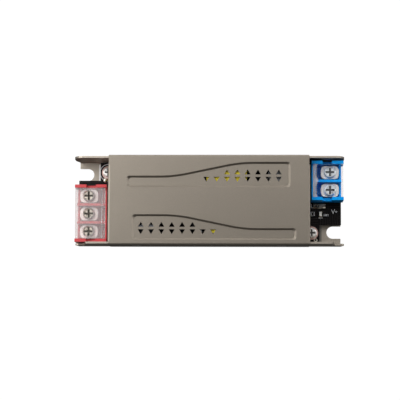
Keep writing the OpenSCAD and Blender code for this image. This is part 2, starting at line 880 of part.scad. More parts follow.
// Bobbin: a sleeve with end flanges on the middle leg, and a foot with pins under each end bar
module transformer_bobbin() {
    color(BLACK) {
        core_place() difference() {
            union() {
                cylinder(r = sleeve_r + flange_t, h = coil_l, center = true);
                for (side = [-1, 1]) translate([0, 0, side * (coil_l - flange_t) / 2])
                    cube([coil_w, core_h, flange_t], center = true);
            }
            cylinder(r = sleeve_r, h = coil_l + over, center = true);
        }
        for (side = [-1, 1])
            translate([core_x, side * (core_l - foot_l) / 2, (board_top + touch + core_z) / 2])
                cube([core_w, foot_l, core_z - board_top - touch], center = true);
        transformer_pins(0);
    }
}

module transformer_winding() {
    wound_l = coil_l - 2 * flange_t - 2 * touch;
    color(COPPER) core_place() difference() {
        cube([coil_w, core_h - touch, wound_l], center = true);
        cylinder(r = sleeve_r + flange_t + touch, h = wound_l + over, center = true);
    }
}

module transformer_tape() {
    color("#e8c53a") core_place() linear_extrude(tape_l, center = true) difference() {
        square([core_w + 2 * tape_t, core_h + 2 * tape_t], center = true);
        square([core_w + 2 * touch, core_h + 2 * touch], center = true);
    }
}

// Capacitor cans

// Can with a crimped groove near its lower end, standing on the XY plane
module capacitor_can(r, h) {
    groove = 0.5;
    rotate_extrude() difference() {
        union() {
            square([r, h - groove]);
            square([r - groove, h]);
            translate([r - groove, h - groove]) circle(groove);
        }
        translate([r + groove / 4, 1.8]) circle(groove);
    }
}

// Bulk capacitor lying along the front wall, its leads bent down beside the transistor
bulk_lead = 1.6;
bulk_lead_r = 0.4;

module bulk_leads(room) {
    translate([bulk_end_x + bulk_lead, bulk_y, board_top])
        lead_row(2, bulk_r, bulk_lead_r, bulk_r + touch, room);
}

module bulk_capacitor() {
    color(BLACK) {
        translate([bulk_end_x, bulk_y, board_top + bulk_r + touch]) {
            rotate([0, -90, 0]) capacitor_can(bulk_r, bulk_l);
            for (side = [-1, 1]) translate([0, side * bulk_r / 2, 0]) {
                translate([-over, 0, 0]) rotate([0, 90, 0]) cylinder(r = bulk_lead_r, h = bulk_lead + over);
                translate([bulk_lead, 0, 0]) sphere(r = bulk_lead_r);
            }
        }
        bulk_leads(0);
    }
}

module output_capacitor_places() {
    for (i = [0:1], j = [0:1])
        translate([out_cap_x + i * out_cap_pitch, out_cap_y - j * out_cap_pitch, board_top]) children();
}

module output_capacitor_leads(room) {
    output_capacitor_places() lead_row(2, out_cap_r, 0.3, touch + over, room);
}

module output_capacitors() {
    color("#30343a") {
        output_capacitor_places() translate([0, 0, touch]) capacitor_can(out_cap_r, out_cap_h);
        output_capacitor_leads(0);
    }
}

// Ring cores lying flat, with wire layers over stretches of the ring

choke_sweep = 140;
inductor_sweep = 320;

module ring_core(r) {
    translate([0, 0, wire_t + 2 * touch])
        rotate_extrude() translate([r - ring_w, 0]) square([ring_w, ring_h]);
}

module ring_winding(r, from, sweep) {
    rotate([0, 0, from]) translate([0, 0, touch]) rotate_extrude(angle = sweep) difference() {
        translate([r - ring_w - wire_t, 0]) square([ring_w + 2 * wire_t, ring_h + 2 * wire_t + 2 * touch]);
        translate([r - ring_w - touch, wire_t]) square([ring_w + 2 * touch, ring_h + 2 * touch]);
    }
}

module choke_leads(room) {
    for (side = [-1, 1]) translate([choke_x + side * (choke_r - ring_w / 2) * 0.5, choke_y, board_top])
        lead_row(2, (choke_r - ring_w / 2) * 1.732, 0.4, touch + wire_t / 2, room);
}

module inductor_leads(room) {
    for (side = [-1, 1]) translate([inductor_x, inductor_y + side * (inductor_r - ring_w / 2), board_top])
        lead_row(1, 0, 0.4, touch + wire_t / 2, room);
}

module choke_core() color("#4a5a48") translate([choke_x, choke_y, board_top]) ring_core(choke_r);
module inductor_core() color("#c9b23c") translate([inductor_x, inductor_y, board_top]) ring_core(inductor_r);

module choke_windings() {
    color(COPPER) {
        translate([choke_x, choke_y, board_top]) for (middle = [90, 270])
            ring_winding(choke_r, middle - choke_sweep / 2, choke_sweep);
        choke_leads(0);
    }
}

module inductor_winding() {
    color(COPPER) {
        translate([inductor_x, inductor_y, board_top])
            ring_winding(inductor_r, 180 - inductor_sweep / 2, inductor_sweep);
        inductor_leads(0);
    }
}

// Boxes and discs on two or four leads

lead_r = 0.4;
lead_in = 1.5;
disc_lift = 1.5;
module filter_place() translate([filter_cap_x, filter_cap_y, board_top]) children();
module fuse_place() translate([fuse_x, fuse_y, board_top]) children();
module bridge_place() translate([bridge_x, bridge_y, board_top]) children();
module varistor_place() translate([varistor_x, varistor_y, board_top]) children();
module thermistor_place() translate([thermistor_x, thermistor_y, board_top]) children();
module safety_place() translate([safety_cap_x, safety_cap_y, board_top]) children();

module disc_leads(r, room) rotate([0, 0, 90]) lead_row(2, r, lead_r, disc_lift + over, room);

module filter_capacitor_leads(room) filter_place()
    lead_row(2, filter_cap_l - 2 * lead_in, lead_r, over, room);
module varistor_leads(room) varistor_place() disc_leads(varistor_r, room);
module thermistor_leads(room) thermistor_place() disc_leads(thermistor_r, room);
module safety_capacitor_leads(room) safety_place() disc_leads(safety_cap_r, room);
module fuse_leads(room) fuse_place() lead_row(2, fuse_l - 2 * lead_in, lead_r, fuse_r, room);
module bridge_leads(room) bridge_place() lead_row(4, bridge_w / 4, lead_r, over, room);

// Coated disc standing on its leads, its axis along Y
module disc_body(r, t) translate([0, t / 2, r + disc_lift]) rotate([90, 0, 0]) cylinder(r = r, h = t);

module filter_capacitor() {
    color("#d8cfa8") {
        filter_place() translate([0, 0, touch]) rounded_slab(filter_cap_t, filter_cap_l, filter_cap_h, 0.8);
        filter_capacitor_leads(0);
    }
}

module varistor() {
    color("#2f5f9e") {
        varistor_place() disc_body(varistor_r, varistor_t);
        varistor_leads(0);
    }
}

module thermistor() {
    color("#2e4034") {
        thermistor_place() disc_body(thermistor_r, disc_t);
        thermistor_leads(0);
    }
}

module safety_capacitor() {
    color("#3a6fb0") {
        safety_place() disc_body(safety_cap_r, disc_t);
        safety_capacitor_leads(0);
    }
}

module fuse() {
    color("#d9d2c2") {
        fuse_place() translate([0, fuse_l / 2, fuse_r + touch])
            rotate([90, 0, 0]) cylinder(r = fuse_r, h = fuse_l);
        fuse_leads(0);
    }
}

// Bridge rectifier with a cut corner that marks its polarity
module bridge_rectifier() {
    side = bridge_w / 2;
    color(BLACK) {
        bridge_place() translate([0, 0, touch]) rotate([90, 0, 90])
            linear_extrude(bridge_t, center = true) polygon([
                [-side, 0],
                [side, 0],
                [side, bridge_h - bridge_corner],
                [side - bridge_corner, bridge_h],
                [-side, bridge_h]
            ]);
        bridge_leads(0);
    }
}

// Heat sinks with a flat power package on each

package_y = sink_y + 2;
package_w = 10;
package_t = 4.4;
package_z = [3, 9.5];
tab_t = 1.3;
tab_z = [4, 15];
tab_hole_z = 12;
tab_hole_r = 1.7;
leg_pitch = 2.54;
leg_at = [2.2, 2.7];
leg_half = 0.4;
sink_pin_in = 1.5;

module sink_pins(x, room) translate([x, sink_y, board_top])
    lead_row(2, sink_l - 2 * sink_pin_in, sink_t / 2, touch + over, room);

module heat_sink(x) {
    difference() {
        translate([x - sink_t / 2, sink_y - sink_l / 2, board_top + touch]) cube([sink_t, sink_l, sink_h]);
        translate([x, package_y, board_top + tab_hole_z]) rotate([0, 90, 0])
            cylinder(r = tab_hole_r, h = sink_t + over, center = true);
    }
    sink_pins(x, 0);
}

// Legs of a flat power package whose tab lies against the plane x = 0
module package_legs(room) {
    for (i = [-1:1]) span(
        [leg_at[0] - room, leg_at[1] + room],
        [leg_pitch * i - leg_half - room, leg_pitch * i + leg_half + room],
        [-board_t - lead_stub, package_z[0] + over]
    );
}

// Moulded body and metal tab of that package
module package_body() {
    difference() {
        span([0, tab_t], package_w / 2 * [-1, 1], tab_z);
        translate([0, 0, tab_hole_z]) rotate([0, 90, 0])
            cylinder(r = tab_hole_r, h = 2 * tab_t + over, center = true);
    }
    span([tab_t / 2, package_t], package_w / 2 * [-1, 1], package_z);
    package_legs(0);
}

module switching_place() {
    translate([primary_sink_x - sink_t / 2 - touch, package_y, board_top]) mirror([1, 0, 0]) children();
}

module rectifier_place() {
    translate([secondary_sink_x + sink_t / 2 + touch, package_y, board_top]) children();
}

module primary_heatsink() color("#c3c6c9") heat_sink(primary_sink_x);
module secondary_heatsink() color("#c3c6c9") heat_sink(secondary_sink_x);
module switching_transistor() color(BLACK) switching_place() package_body();
module output_rectifier() color(BLACK) rectifier_place() package_body();

// Small parts: two chips under the board, the indicator and chip parts at the output end

// Chip with four gull legs on each long side
module chip(l, w, h) {
    translate([-l / 2, -w / 2, touch]) cube([l, w, h]);
    for (i = [-1.5:1.5], side = [-1, 1])
        translate([i * l / 4, side * (w / 2 + 0.3), h / 4]) cube([0.4, 0.9, h / 2], center = true);
}

chip_row_x = block_rear + 5;
chip_row_y = output_y - block_w(2) / 2;

module chip_part(x, y, l, w, h) translate([x - l / 2, y - w / 2, board_top]) cube([l, w, h]);

// Distances of the chips under the board from the back wall
control_chip_in = 14.2;
optocoupler_in = 10.2;

module control_chip() color(BLACK)
    translate([core_x - core_side - 2.7, inner_w / 2 - control_chip_in, board_z])
        mirror([0, 0, 1]) chip(5, 4, 1.4);
module optocoupler() color(BLACK)
    translate([core_x + core_side + 1.5, inner_w / 2 - optocoupler_in, board_z])
        mirror([0, 0, 1]) chip(4.6, 6.4, 1.7);
module indicator_led() color("#f2f0e8") chip_part(chip_row_x, chip_row_y - 6.2, 1.3, 2, 0.8);

module surface_parts() {
    color("#6f6a64") {
        chip_part(chip_row_x + 0.9, chip_row_y - 1.9, 3.2, 1.6, 0.6);
        chip_part(chip_row_x - 3.3, chip_row_y - 1.9, 0.8, 1.6, 0.6);
    }
}

base_channel();
top_cover();
cover_screws();
insulating_film();
board_standoffs();
circuit_board();
board_screws();
input_block();
input_flap();
input_lugs();
input_screw(1);  // input_screw_1
input_screw(2);  // input_screw_2
input_screw(3);  // input_screw_3
input_clamp(1);  // input_clamp_1
input_clamp(2);  // input_clamp_2
input_clamp(3);  // input_clamp_3
output_block();
output_flap();
output_lugs();
output_screw(1);  // output_screw_1
output_screw(2);  // output_screw_2
output_clamp(1);  // output_clamp_1
output_clamp(2);  // output_clamp_2
transformer_core();
transformer_bobbin();
transformer_winding();
transformer_tape();
bulk_capacitor();
output_capacitors();
choke_core();
choke_windings();
inductor_core();
inductor_winding();
filter_capacitor();
safety_capacitor();
varistor();
thermistor();
fuse();
bridge_rectifier();
switching_transistor();
primary_heatsink();
output_rectifier();
secondary_heatsink();
control_chip();
optocoupler();
indicator_led();
surface_parts();
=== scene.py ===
"""Looks of a slim LED power supply: finishes, board print, wound coils and a plain white studio."""

import logging
import math
from abc import ABC, abstractmethod
from dataclasses import dataclass, field
from enum import Enum
from typing import Any, Iterable, Sequence

import bmesh
import bpy
from mathutils import Matrix, Vector


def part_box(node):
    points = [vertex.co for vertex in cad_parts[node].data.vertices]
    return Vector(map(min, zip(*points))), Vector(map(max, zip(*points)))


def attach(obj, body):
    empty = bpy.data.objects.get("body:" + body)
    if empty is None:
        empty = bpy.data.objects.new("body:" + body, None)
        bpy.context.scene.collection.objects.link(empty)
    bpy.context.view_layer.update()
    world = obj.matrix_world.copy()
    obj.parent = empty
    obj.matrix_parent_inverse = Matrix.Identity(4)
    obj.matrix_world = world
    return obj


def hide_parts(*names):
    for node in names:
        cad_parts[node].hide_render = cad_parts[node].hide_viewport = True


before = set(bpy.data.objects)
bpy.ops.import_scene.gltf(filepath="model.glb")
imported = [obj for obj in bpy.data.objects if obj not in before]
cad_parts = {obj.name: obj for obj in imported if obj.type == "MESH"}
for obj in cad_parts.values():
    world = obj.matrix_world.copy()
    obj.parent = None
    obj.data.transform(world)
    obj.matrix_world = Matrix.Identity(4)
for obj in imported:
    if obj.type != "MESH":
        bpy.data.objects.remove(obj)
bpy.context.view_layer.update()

LOG = logging.getLogger("power_supply")
MM = 0.001
BODY = "case"
# Scale of a wave texture whose bands are one unit apart.
WAVE_SCALE = 0.314

Colour = tuple[float, float, float]
Place = tuple[float, float, float]
Point = tuple[float, float]


def tone(code: str) -> Colour:
    """Turn a six-figure screen colour into linear light.

    Args:
        code: red, green and blue as six hexadecimal figures.

    Returns:
        The three linear values.
    """
    parts = [int(code[i:i + 2], 16) / 255 for i in (0, 2, 4)]
    return tuple(c / 12.92 if c <= 0.04045 else ((c + 0.055) / 1.055) ** 2.4 for c in parts)


def scaled(colour: Colour, share: float) -> Colour:
    """The same colour, lighter or darker.

    Args:
        colour: linear values.
        share: what each is multiplied by.

    Returns:
        The new colour.
    """
    return tuple(c * share for c in colour)


def add_object(name: str, data: bpy.types.ID) -> bpy.types.Object:
    """Put a new object in the scene.

    Args:
        name: its name.
        data: its mesh, camera or light.

    Returns:
        The object.
    """
    made = bpy.data.objects.new(name, data)
    bpy.context.scene.collection.objects.link(made)
    return made


class Axis(Enum):
    """The three directions of the case."""

    LENGTH = 0
    WIDTH = 1
    HEIGHT = 2


class Signal:
    """One output of a shader node, with arithmetic that adds Math nodes."""

    def __init__(self, graph: "Graph", socket: bpy.types.NodeSocket) -> None:
        """Wrap a socket.

        Args:
            graph: the builder of the tree that the socket is in.
            socket: the output.
        """
        self.graph = graph
        self.socket = socket

    def _math(self, operation: str, first: Any, second: Any = 0.0) -> "Signal":
        """Add a Math node.

        Args:
            operation: the node's operation.
            first: its first value or link.
            second: its second value or link.

        Returns:
            The node's output.
        """
        return self.graph.node("ShaderNodeMath", {0: first, 1: second}, operation=operation)

    def __add__(self, other: Any) -> "Signal":
        """Sum."""
        return self._math("ADD", self, other)

    __radd__ = __add__

    def __mul__(self, other: Any) -> "Signal":
        """Product."""
        return self._math("MULTIPLY", self, other)

    __rmul__ = __mul__

    def __sub__(self, other: Any) -> "Signal":
        """Difference."""
        return self._math("SUBTRACT", self, other)

    def __rsub__(self, other: Any) -> "Signal":
        """Difference from a number."""
        return self._math("SUBTRACT", other, self)

    def __abs__(self) -> "Signal":
        """Size without sign."""
        return self._math("ABSOLUTE", self)

    def wave(self, period: float) -> "Signal":
        """Even ripple from 0 to 1.

        Args:
            period: the distance from crest to crest.

        Returns:
            The ripple.
        """
        return self._math("SINE", self * (2 * math.pi / period)) * 0.5 + 0.5

    def cosine(self) -> "Signal":
        """Cosine of an angle."""
        return self._math("COSINE", self)

    def sine(self) -> "Signal":
        """Sine of an angle."""
        return self._math("SINE", self)

    def squared_off(self, power: float) -> "Signal":
        """The value with its size raised to a power and its sign kept.

        Args:
            power: under 1 to push a circle towards a square.

        Returns:
            The new value.
        """
        return self._math("SIGN", self) * self._math("POWER", abs(self), power)

    def least(self, other: "Signal") -> "Signal":
        """The smaller of two values."""
        return self._math("MINIMUM", self, other)

    def root(self) -> "Signal":
        """Square root."""
        return self._math("SQRT", self)

    def above(self, edge: float, soft: float) -> "Signal":
        """Mask of where the value passes an edge.

        Args:
            edge: the middle of the step.
            soft: the width of the step.

        Returns:
            0 below the step and 1 above it.
        """
        values = {"Value": self, "From Min": edge - soft / 2, "From Max": edge + soft / 2}
        return self.graph.node("ShaderNodeMapRange", values, interpolation_type="SMOOTHSTEP")


class Graph:
    """Adds nodes to a tree."""

    def __init__(self, tree: bpy.types.NodeTree) -> None:
        """Start with an empty tree.

        Args:
            tree: the tree.
        """
        self.tree = tree
        self.tree.nodes.clear()

    def node(
        self,
        kind: str,
        inputs: dict[int | str, Any] | None = None,
        output: int | str = 0,
        **settings: Any,
    ) -> Signal:
        """Add one node.

        Args:
            kind: the node's type.
            inputs: values or links of its sockets.
            output: which output to give back.
            settings: its own settings.

        Returns:
            That output.
        """
        made = self.tree.nodes.new(kind)
        for key, value in settings.items():
            setattr(made, key, value)
        for key, value in (inputs or {}).items():
            self.feed(made.inputs[key], value)
        return Signal(self, made.outputs[output])

    def feed(self, socket: bpy.types.NodeSocket, value: Any) -> None:
        """Link a signal to a socket, or set the socket's own value.

        Args:
            socket: the input.
            value: a signal, number, colour or vector.
        """
        if isinstance(value, Signal):
            self.tree.links.new(value.socket, socket)
        elif socket.type == "RGBA":
            socket.default_value = (*value, 1.0)
        else:
            socket.default_value = value

    def end(self, kind: str, last: Signal) -> None:
        """End the tree with an output node.

        Args:
            kind: the node's type.
            last: what its first input is linked to.
        """
        self.feed(self.tree.nodes.new(kind).inputs[0], last)


class Bench(Graph):
    """Builds the node tree of one material."""

    def __init__(self, name: str) -> None:
        """Start an empty material.

        Args:
            name: the material's name.
        """
        self.material = bpy.data.materials.new(name)
        self.material.use_nodes = True
        super().__init__(self.material.node_tree)
        self._coords: Signal | None = None

    def coords(self, stretch: Place | None = None) -> Signal:
        """Object coordinates, in metres.

        Args:
            stretch: scale along each axis, for a pattern drawn out in one direction.

        Returns:
            The vector.
        """
        if self._coords is None:
            self._coords = self.node("ShaderNodeTexCoord", output="Object")
        if stretch is None:
            return self._coords
        return self.node("ShaderNodeMapping", {"Vector": self._coords, "Scale": stretch})

    def along(self, axis: Axis) -> Signal:
        """The place along one axis, in millimetres.

        Args:
            axis: which axis.

        Returns:
            The value.
        """
        place = self.node("ShaderNodeSeparateXYZ", {0: self.coords()}, axis.value)
        return place * (1 / MM)

    def beside(self, axes: Sequence[Point]) -> Signal:
        """Distance from the nearest of several upright axes, in millimetres.

        Args:
            axes: where the axes stand, seen from above.

        Returns:
            The distance.
        """
        found: Signal | None = None
        for x, y in axes:
            off = self.along(Axis.LENGTH) - x
            out = self.along(Axis.WIDTH) - y
            away = (off * off + out * out).root()
            found = away if found is None else found.least(away)
        return found

    def noise(self, size: float, detail: float = 3.0, stretch: Place | None = None) -> Signal:
        """Cloudy pattern round 0.5.

        Args:
            size: the size of its spots in millimetres.
            detail: how many finer layers it has.
            stretch: scale along each axis.

        Returns:
            The value.
        """
        values = {"Vector": self.coords(stretch), "Scale": 1 / (size * MM), "Detail": detail}
        return self.node("ShaderNodeTexNoise", values)

    def bands(
        self, axis: str, period: float, wobble: float, detail: float = 2.0, profile: str = "SIN"
    ) -> Signal:
        """Bands across one axis, from 0 to 1.

        Args:
            axis: X, Y or Z.
            period: the distance from band to band in millimetres.
            wobble: how far they waver.
            detail: how many finer layers the wavering has.
            profile: the node's profile.

        Returns:
            The value.
        """
        values = {"Vector": self.coords(), "Scale": WAVE_SCALE / (period * MM)}
        values |= {"Distortion": wobble, "Detail": detail}
        return self.node("ShaderNodeTexWave", values, 1, bands_direction=axis, wave_profile=profile)

    def mix(self, share: Any, low: Any, high: Any) -> Signal:
        """Colour between two colours.

        Args:
            share: 0 for the first, 1 for the second.
            low: the first colour.
            high: the second colour.

        Returns:
            The colour.
        """
        values = {0: share, 6: low, 7: high}
        return self.node("ShaderNodeMix", values, 2, data_type="RGBA", clamp_factor=True)

    def shade(self, share: Signal, colour: Colour, low: float, high: float) -> Signal:
        """Colour between two shades of one colour.

        Args:
            share: 0 for the first, 1 for the second.
            colour: the colour.
            low: the first shade's factor.
            high: the second shade's factor.

        Returns:
            The shade.
        """
        return self.mix(share, scaled(colour, low), scaled(colour, high))

    def bump(self, height: Signal, depth: float, strength: float = 1.0) -> Signal:
        """Surface normal of a relief.

        Args:
            height: the relief, from 0 to 1.
            depth: its depth in millimetres.
            strength: how much of it shows.

        Returns:
            The normal.
        """
        values = {"Height": height, "Distance": depth * MM, "Strength": strength}
        return self.node("ShaderNodeBump", values)

    def shader(self, **values: Any) -> Signal:
        """Add a Principled shader.

        Args:
            values: its sockets, with underscores for spaces.

        Returns:
            The shader.
        """
        named = {key.replace("_", " "): value for key, value in values.items()}
        return self.node("ShaderNodeBsdfPrincipled", named)


class Loom(Graph):
    """Builds a Geometry Nodes tree with named inputs, and runs it."""

    def __init__(self, name: str) -> None:
        """Start an empty tree.

        Args:
            name: the tree's name.
        """
        super().__init__(bpy.data.node_groups.new(name, "GeometryNodeTree"))
        self.tree.interface.new_socket("Mesh", in_out="OUTPUT", socket_type="NodeSocketGeometry")
        self.entry = self.tree.nodes.new("NodeGroupInput")
        self.keys: dict[str, str] = {}

    def value(self, name: str, kind: str = "NodeSocketFloat") -> Signal:
        """Add a named input.

        Args:
            name: the input's name.
            kind: its type of socket.

        Returns:
            The input, to be linked.
        """
        socket = self.tree.interface.new_socket(name, in_out="INPUT", socket_type=kind)
        self.keys[name] = socket.identifier
        return Signal(self, self.entry.outputs[name])

    def place(self, x: Any, y: Any, z: Any) -> Signal:
        """Vector of three values."""
        return self.node("ShaderNodeCombineXYZ", {0: x, 1: y, 2: z})

    def close(self, *meshes: Signal) -> None:
        """End the tree: join, make instances real, shade smooth and set the material input.

        Args:
            meshes: what is joined.
        """
        join = self.tree.nodes.new("GeometryNodeJoinGeometry")
        for mesh in meshes:
            self.feed(join.inputs[0], mesh)
        smooth = self.node("GeometryNodeSetShadeSmooth", {0: Signal(self, join.outputs[0])})
        real = self.node("GeometryNodeRealizeInstances", {0: smooth})
        finish = self.value("Material", "NodeSocketMaterial")
        done = self.node("GeometryNodeSetMaterial", {"Geometry": real, "Material": finish})
        self.end("NodeGroupOutput", done)

    def run(self, values: dict[str, Any]) -> bpy.types.Mesh:
        """Evaluate the tree once.

        Args:
            values: its inputs by name.

        Returns:
            The result as a plain mesh.
        """
        host = add_object("loom", bpy.data.meshes.new("loom"))
        modifier = host.modifiers.new("shape", "NODES")
        modifier.node_group = self.tree
        for name, value in values.items():
            modifier[self.keys[name]] = value
        graph = bpy.context.evaluated_depsgraph_get()
        mesh = bpy.data.meshes.new_from_object(host.evaluated_get(graph))
        bpy.data.objects.remove(host)
        return mesh


class Look(ABC):
    """What a surface is made of."""

    @abstractmethod
    def shader(self, bench: Bench) -> Signal:
        """Build the shader.

        Args:
            bench: the builder of the material's tree.

        Returns:
            The shader.
        """


@dataclass(frozen=True)
class PaintedSheet(Look):
    """Matt metallic paint on folded sheet, with a fine grain and rubbed folds."""

    colour: Colour = tone("8e867b")
    bare: Colour = tone("c9c3b8")
    grain: float = 0.34
    flake: float = 0.22
    fold_y: float = 23.55
    fold_z: float = 22.3

    def shader(self, bench: Bench) -> Signal:
        """Build the paint."""
        grain = bench.noise(self.grain, detail=4.0)
        cloud = bench.noise(24.0, detail=2.0)
        cells = {"Vector": bench.coords(), "Scale": 1 / (self.flake * MM)}
        flake = bench.node("ShaderNodeTexVoronoi", cells, "Color")
        spark = bench.node("ShaderNodeSeparateColor", {0: flake})
        fold = abs(bench.along(Axis.WIDTH)).above(self.fold_y, soft=0.5)
        high = bench.along(Axis.HEIGHT).above(self.fold_z, soft=0.4)
        rubbed = fold * high * bench.noise(1.6).above(0.5, soft=0.3)
        speckle = grain * 0.75 + spark * 0.15 + cloud * 0.25 - 0.1
        paint = bench.shade(speckle, self.colour, low=0.86, high=1.12)
        return bench.shader(
            Base_Color=bench.mix(rubbed * 0.3, paint, self.bare),
            Metallic=0.92,
            Roughness=0.42 + grain * 0.12,
            Normal=bench.bump(grain, depth=0.02, strength=0.6),
        )


@dataclass(frozen=True)
class PlatedMetal(Look):
    """Plated or tinned metal with faint drawing marks."""

    colour: Colour
    roughness: float
    marks: float = 0.5

    def shader(self, bench: Bench) -> Signal:
        """Build the plating."""
        marks = bench.noise(self.marks, detail=4.0, stretch=(1.0, 0.18, 0.5))
        stain = bench.noise(2.2)
        return bench.shader(
            Base_Color=bench.shade(stain, self.colour, low=0.86, high=1.08),
            Metallic=1.0,
            Roughness=self.roughness - 0.08 + marks * 0.16,
            Normal=bench.bump(marks, depth=0.015, strength=0.5),
        )


def axes_of(*nodes: str) -> tuple[Point, ...]:
    """Where solids stand, seen from above.

    Args:
        nodes: the solids' names.

    Returns:
        Their middles in millimetres.
    """
    middles = [(low + high) / (2 * MM) for low, high in map(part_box, nodes)]
    return tuple((middle.x, middle.y) for middle in middles)


def corner_axes(node: str, radius: float) -> tuple[Point, ...]:
    """Where two round things stand at opposite corners of one solid.

    Args:
        node: the solid's name.
        radius: the radius of each.

    Returns:
        Their axes in millimetres, the back left one first.
    """
    low, high = (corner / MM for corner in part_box(node))
    return (low.x + radius, high.y - radius), (high.x - radius, low.y + radius)


@dataclass(frozen=True)
class ScrewPlating(Look):
    """Plated pan-head screws: turned rings, a cross recess darkened by painted shade and some dirt, a thread
    and a tinted washer.
    """

    axes: tuple[Point, ...]
    colour: Colour
    head_top: float
    roughness: float
    recess_r: float
    recess_d: float = 1.2
    head_h: float = 2.2
    shank_r: float = 1.75
    pitch: float = 0.7
    ring: float = 0.42
    washer_from: float = 9.0
    washer: Colour = tone("c79a90")
    # Colour of the cross recess: painted shade for the shade deep inside it, with some dirt.
    recess: Colour = tone("1d1b1a")
    # Darker and lighter shades of the stains; a wide range also paints highlights and dark reflections on the
    # head.
    stain_and_glint_shades: Point = (0.62, 1.25)

    def shader(self, bench: Bench) -> Signal:
        """Build the plating."""
        out = bench.beside(self.axes)
        height = bench.along(Axis.HEIGHT)
        shank = 1 - out.above(self.shank_r, soft=0.1)
        # Mask of the recess below the head's face, darkened with painted shade and dirt.
        below = 1 - height.above(self.head_top - 0.35, soft=0.3)
        floor = height.above(self.head_top - self.recess_d - 0.2, soft=0.1)
        recess_shade_and_dirt = below * floor * (1 - out.above(self.recess_r, soft=0.2))
        under_head = 1 - height.above(self.head_top - self.head_h, soft=0.1)
        thread = height.wave(self.pitch) * shank * under_head
        stain = bench.noise(1.1, detail=4.0)
        # Stains, which with a wide range of shades also paint highlights and dark reflections.
        plate = bench.shade(stain.above(0.5, soft=0.5), self.colour, *self.stain_and_glint_shades)
        tinted = bench.mix(out.above(self.washer_from, soft=0.15) * 0.8, plate, self.washer)
        relief = out.wave(self.ring) * 0.25 + stain * 0.35 + thread
        return bench.shader(
            Base_Color=bench.mix(recess_shade_and_dirt * 0.9, tinted, self.recess),
            Metallic=1.0,
            Roughness=self.roughness - 0.1 + stain * 0.2,
            Normal=bench.bump(relief, depth=0.07, strength=0.6),
        )


@dataclass(frozen=True)
class Moulding(Look):
    """Opaque moulded plastic with a faint spark-eroded skin."""

    colour: Colour
    roughness: float = 0.36
    skin: float = 0.3
    gloss: float = 0.5

    def shader(self, bench: Bench) -> Signal:
        """Build the plastic."""
        skin = bench.noise(self.skin)
        flow = bench.noise(7.0, detail=2.0)
        return bench.shader(
            Base_Color=bench.shade(flow * 0.6 + skin * 0.4, self.colour, low=0.84, high=1.12),
            Roughness=self.roughness - 0.06 + skin * 0.12,
            Specular_IOR_Level=self.gloss,
            Normal=bench.bump(skin, depth=0.012, strength=0.6),
        )


@dataclass(frozen=True)
class ClearMoulding(Look):
    """Clear moulded plastic, lightly frosted but for a clear window over each screw."""

    axes: tuple[Point, ...]
    # Colour of the frosted plastic, darker than its own to paint in the shade the flap would cast, as it
    # casts no shadow.
    tint_with_shade: Colour
    window_r: float
    haze: float
    window: Colour = (0.9, 0.9, 0.9)
    roughness: float = 0.05

    def shader(self, bench: Bench) -> Signal:
        """Build the clear plastic."""
        swirl = bench.noise(3.0, stretch=(0.25, 1.0, 1.0))
        scuff = bench.noise(2.6).above(0.6, soft=0.3)
        frost = bench.beside(self.axes).above(self.window_r, soft=0.5)
        colour = bench.mix(frost, self.window, self.tint_with_shade)
        clear = bench.shader(
            Base_Color=bench.mix(scuff * 0.5, colour, scaled(self.tint_with_shade, 0.9)),
            Roughness=self.roughness + scuff * 0.05 + frost * 0.1,
            Transmission_Weight=1.0,
            IOR=1.5,
            Normal=bench.bump(swirl, depth=0.03, strength=0.25),
        )
        milky = bench.shader(Base_Color=self.window, Roughness=0.5)
        return bench.node("ShaderNodeMixShader", {0: frost * self.haze, 1: clear, 2: milky})


@dataclass(frozen=True)
class SolderMask(Look):
    """Black lacquered circuit board with faint tracks under the lacquer."""

    colour: Colour = (0.006, 0.005, 0.005)
    track: float = 1.3

    def shader(self, bench: Bench) -> Signal:
        """Build the lacquer."""
        bands = [bench.bands(axis, self.track, wobble=1.2, detail=0.0) for axis in "XY"]
        across, along = (band.above(0.72, soft=0.12) for band in bands)
        patch = bench.noise(7.0, detail=1.0).above(0.52, soft=0.04)
        tracks = across * patch + along * (1 - patch)
        weave = bench.noise(0.5, detail=2.0)
        return bench.shader(
            Base_Color=bench.shade(tracks, self.colour, low=1.0, high=2.6),
            Specular_IOR_Level=0.18,
            Roughness=0.14 + weave * 0.08,
            Normal=bench.bump(tracks * 0.7 + weave * 0.3, depth=0.03, strength=0.4),
        )


@dataclass(frozen=True)
class FilmSheet(Look):
    """Insulating film: grey for painted shade over most of it, and white for painted light along its input
    edge.
    """

    # The grey is painted shade; the white, along the input end, is painted light.
    colour: Colour = tone("77736c")
    band: Colour = tone("fbfaf7")
    painted_light_to: float = -40.0

    def shader(self, bench: Bench) -> Signal:
        """Build the film."""
        crease = bench.noise(9.0, stretch=(1.0, 0.3, 1.0))
        # Mask of the input end, which is painted white for the light that falls there.
        band = 1 - bench.along(Axis.LENGTH).above(self.painted_light_to, soft=0.2)
        return bench.shader(
            Base_Color=bench.mix(crease * 0.2, bench.mix(band, self.colour, self.band), self.colour),
            Roughness=0.3 + crease * 0.2,
            Normal=bench.bump(crease, depth=0.1, strength=0.4),
        )


@dataclass(frozen=True)
class Speckled(Look):
    """Pressed or dipped body with a grainy skin: ferrite, ring core, ceramic, epoxy coating."""

    colour: Colour
    roughness: float
    grain: float
    depth: float

    def shader(self, bench: Bench) -> Signal:
        """Build the body."""
        grain = bench.noise(self.grain, detail=4.0)
        patch = bench.noise(self.grain * 12, detail=2.0)
        return bench.shader(
            Base_Color=bench.shade(grain * 0.5 + patch * 0.5, self.colour, low=0.72, high=1.22),
            Roughness=self.roughness - 0.08 + grain * 0.16,
            Normal=bench.bump(grain * 0.6 + patch * 0.4, self.depth, strength=0.7),
        )


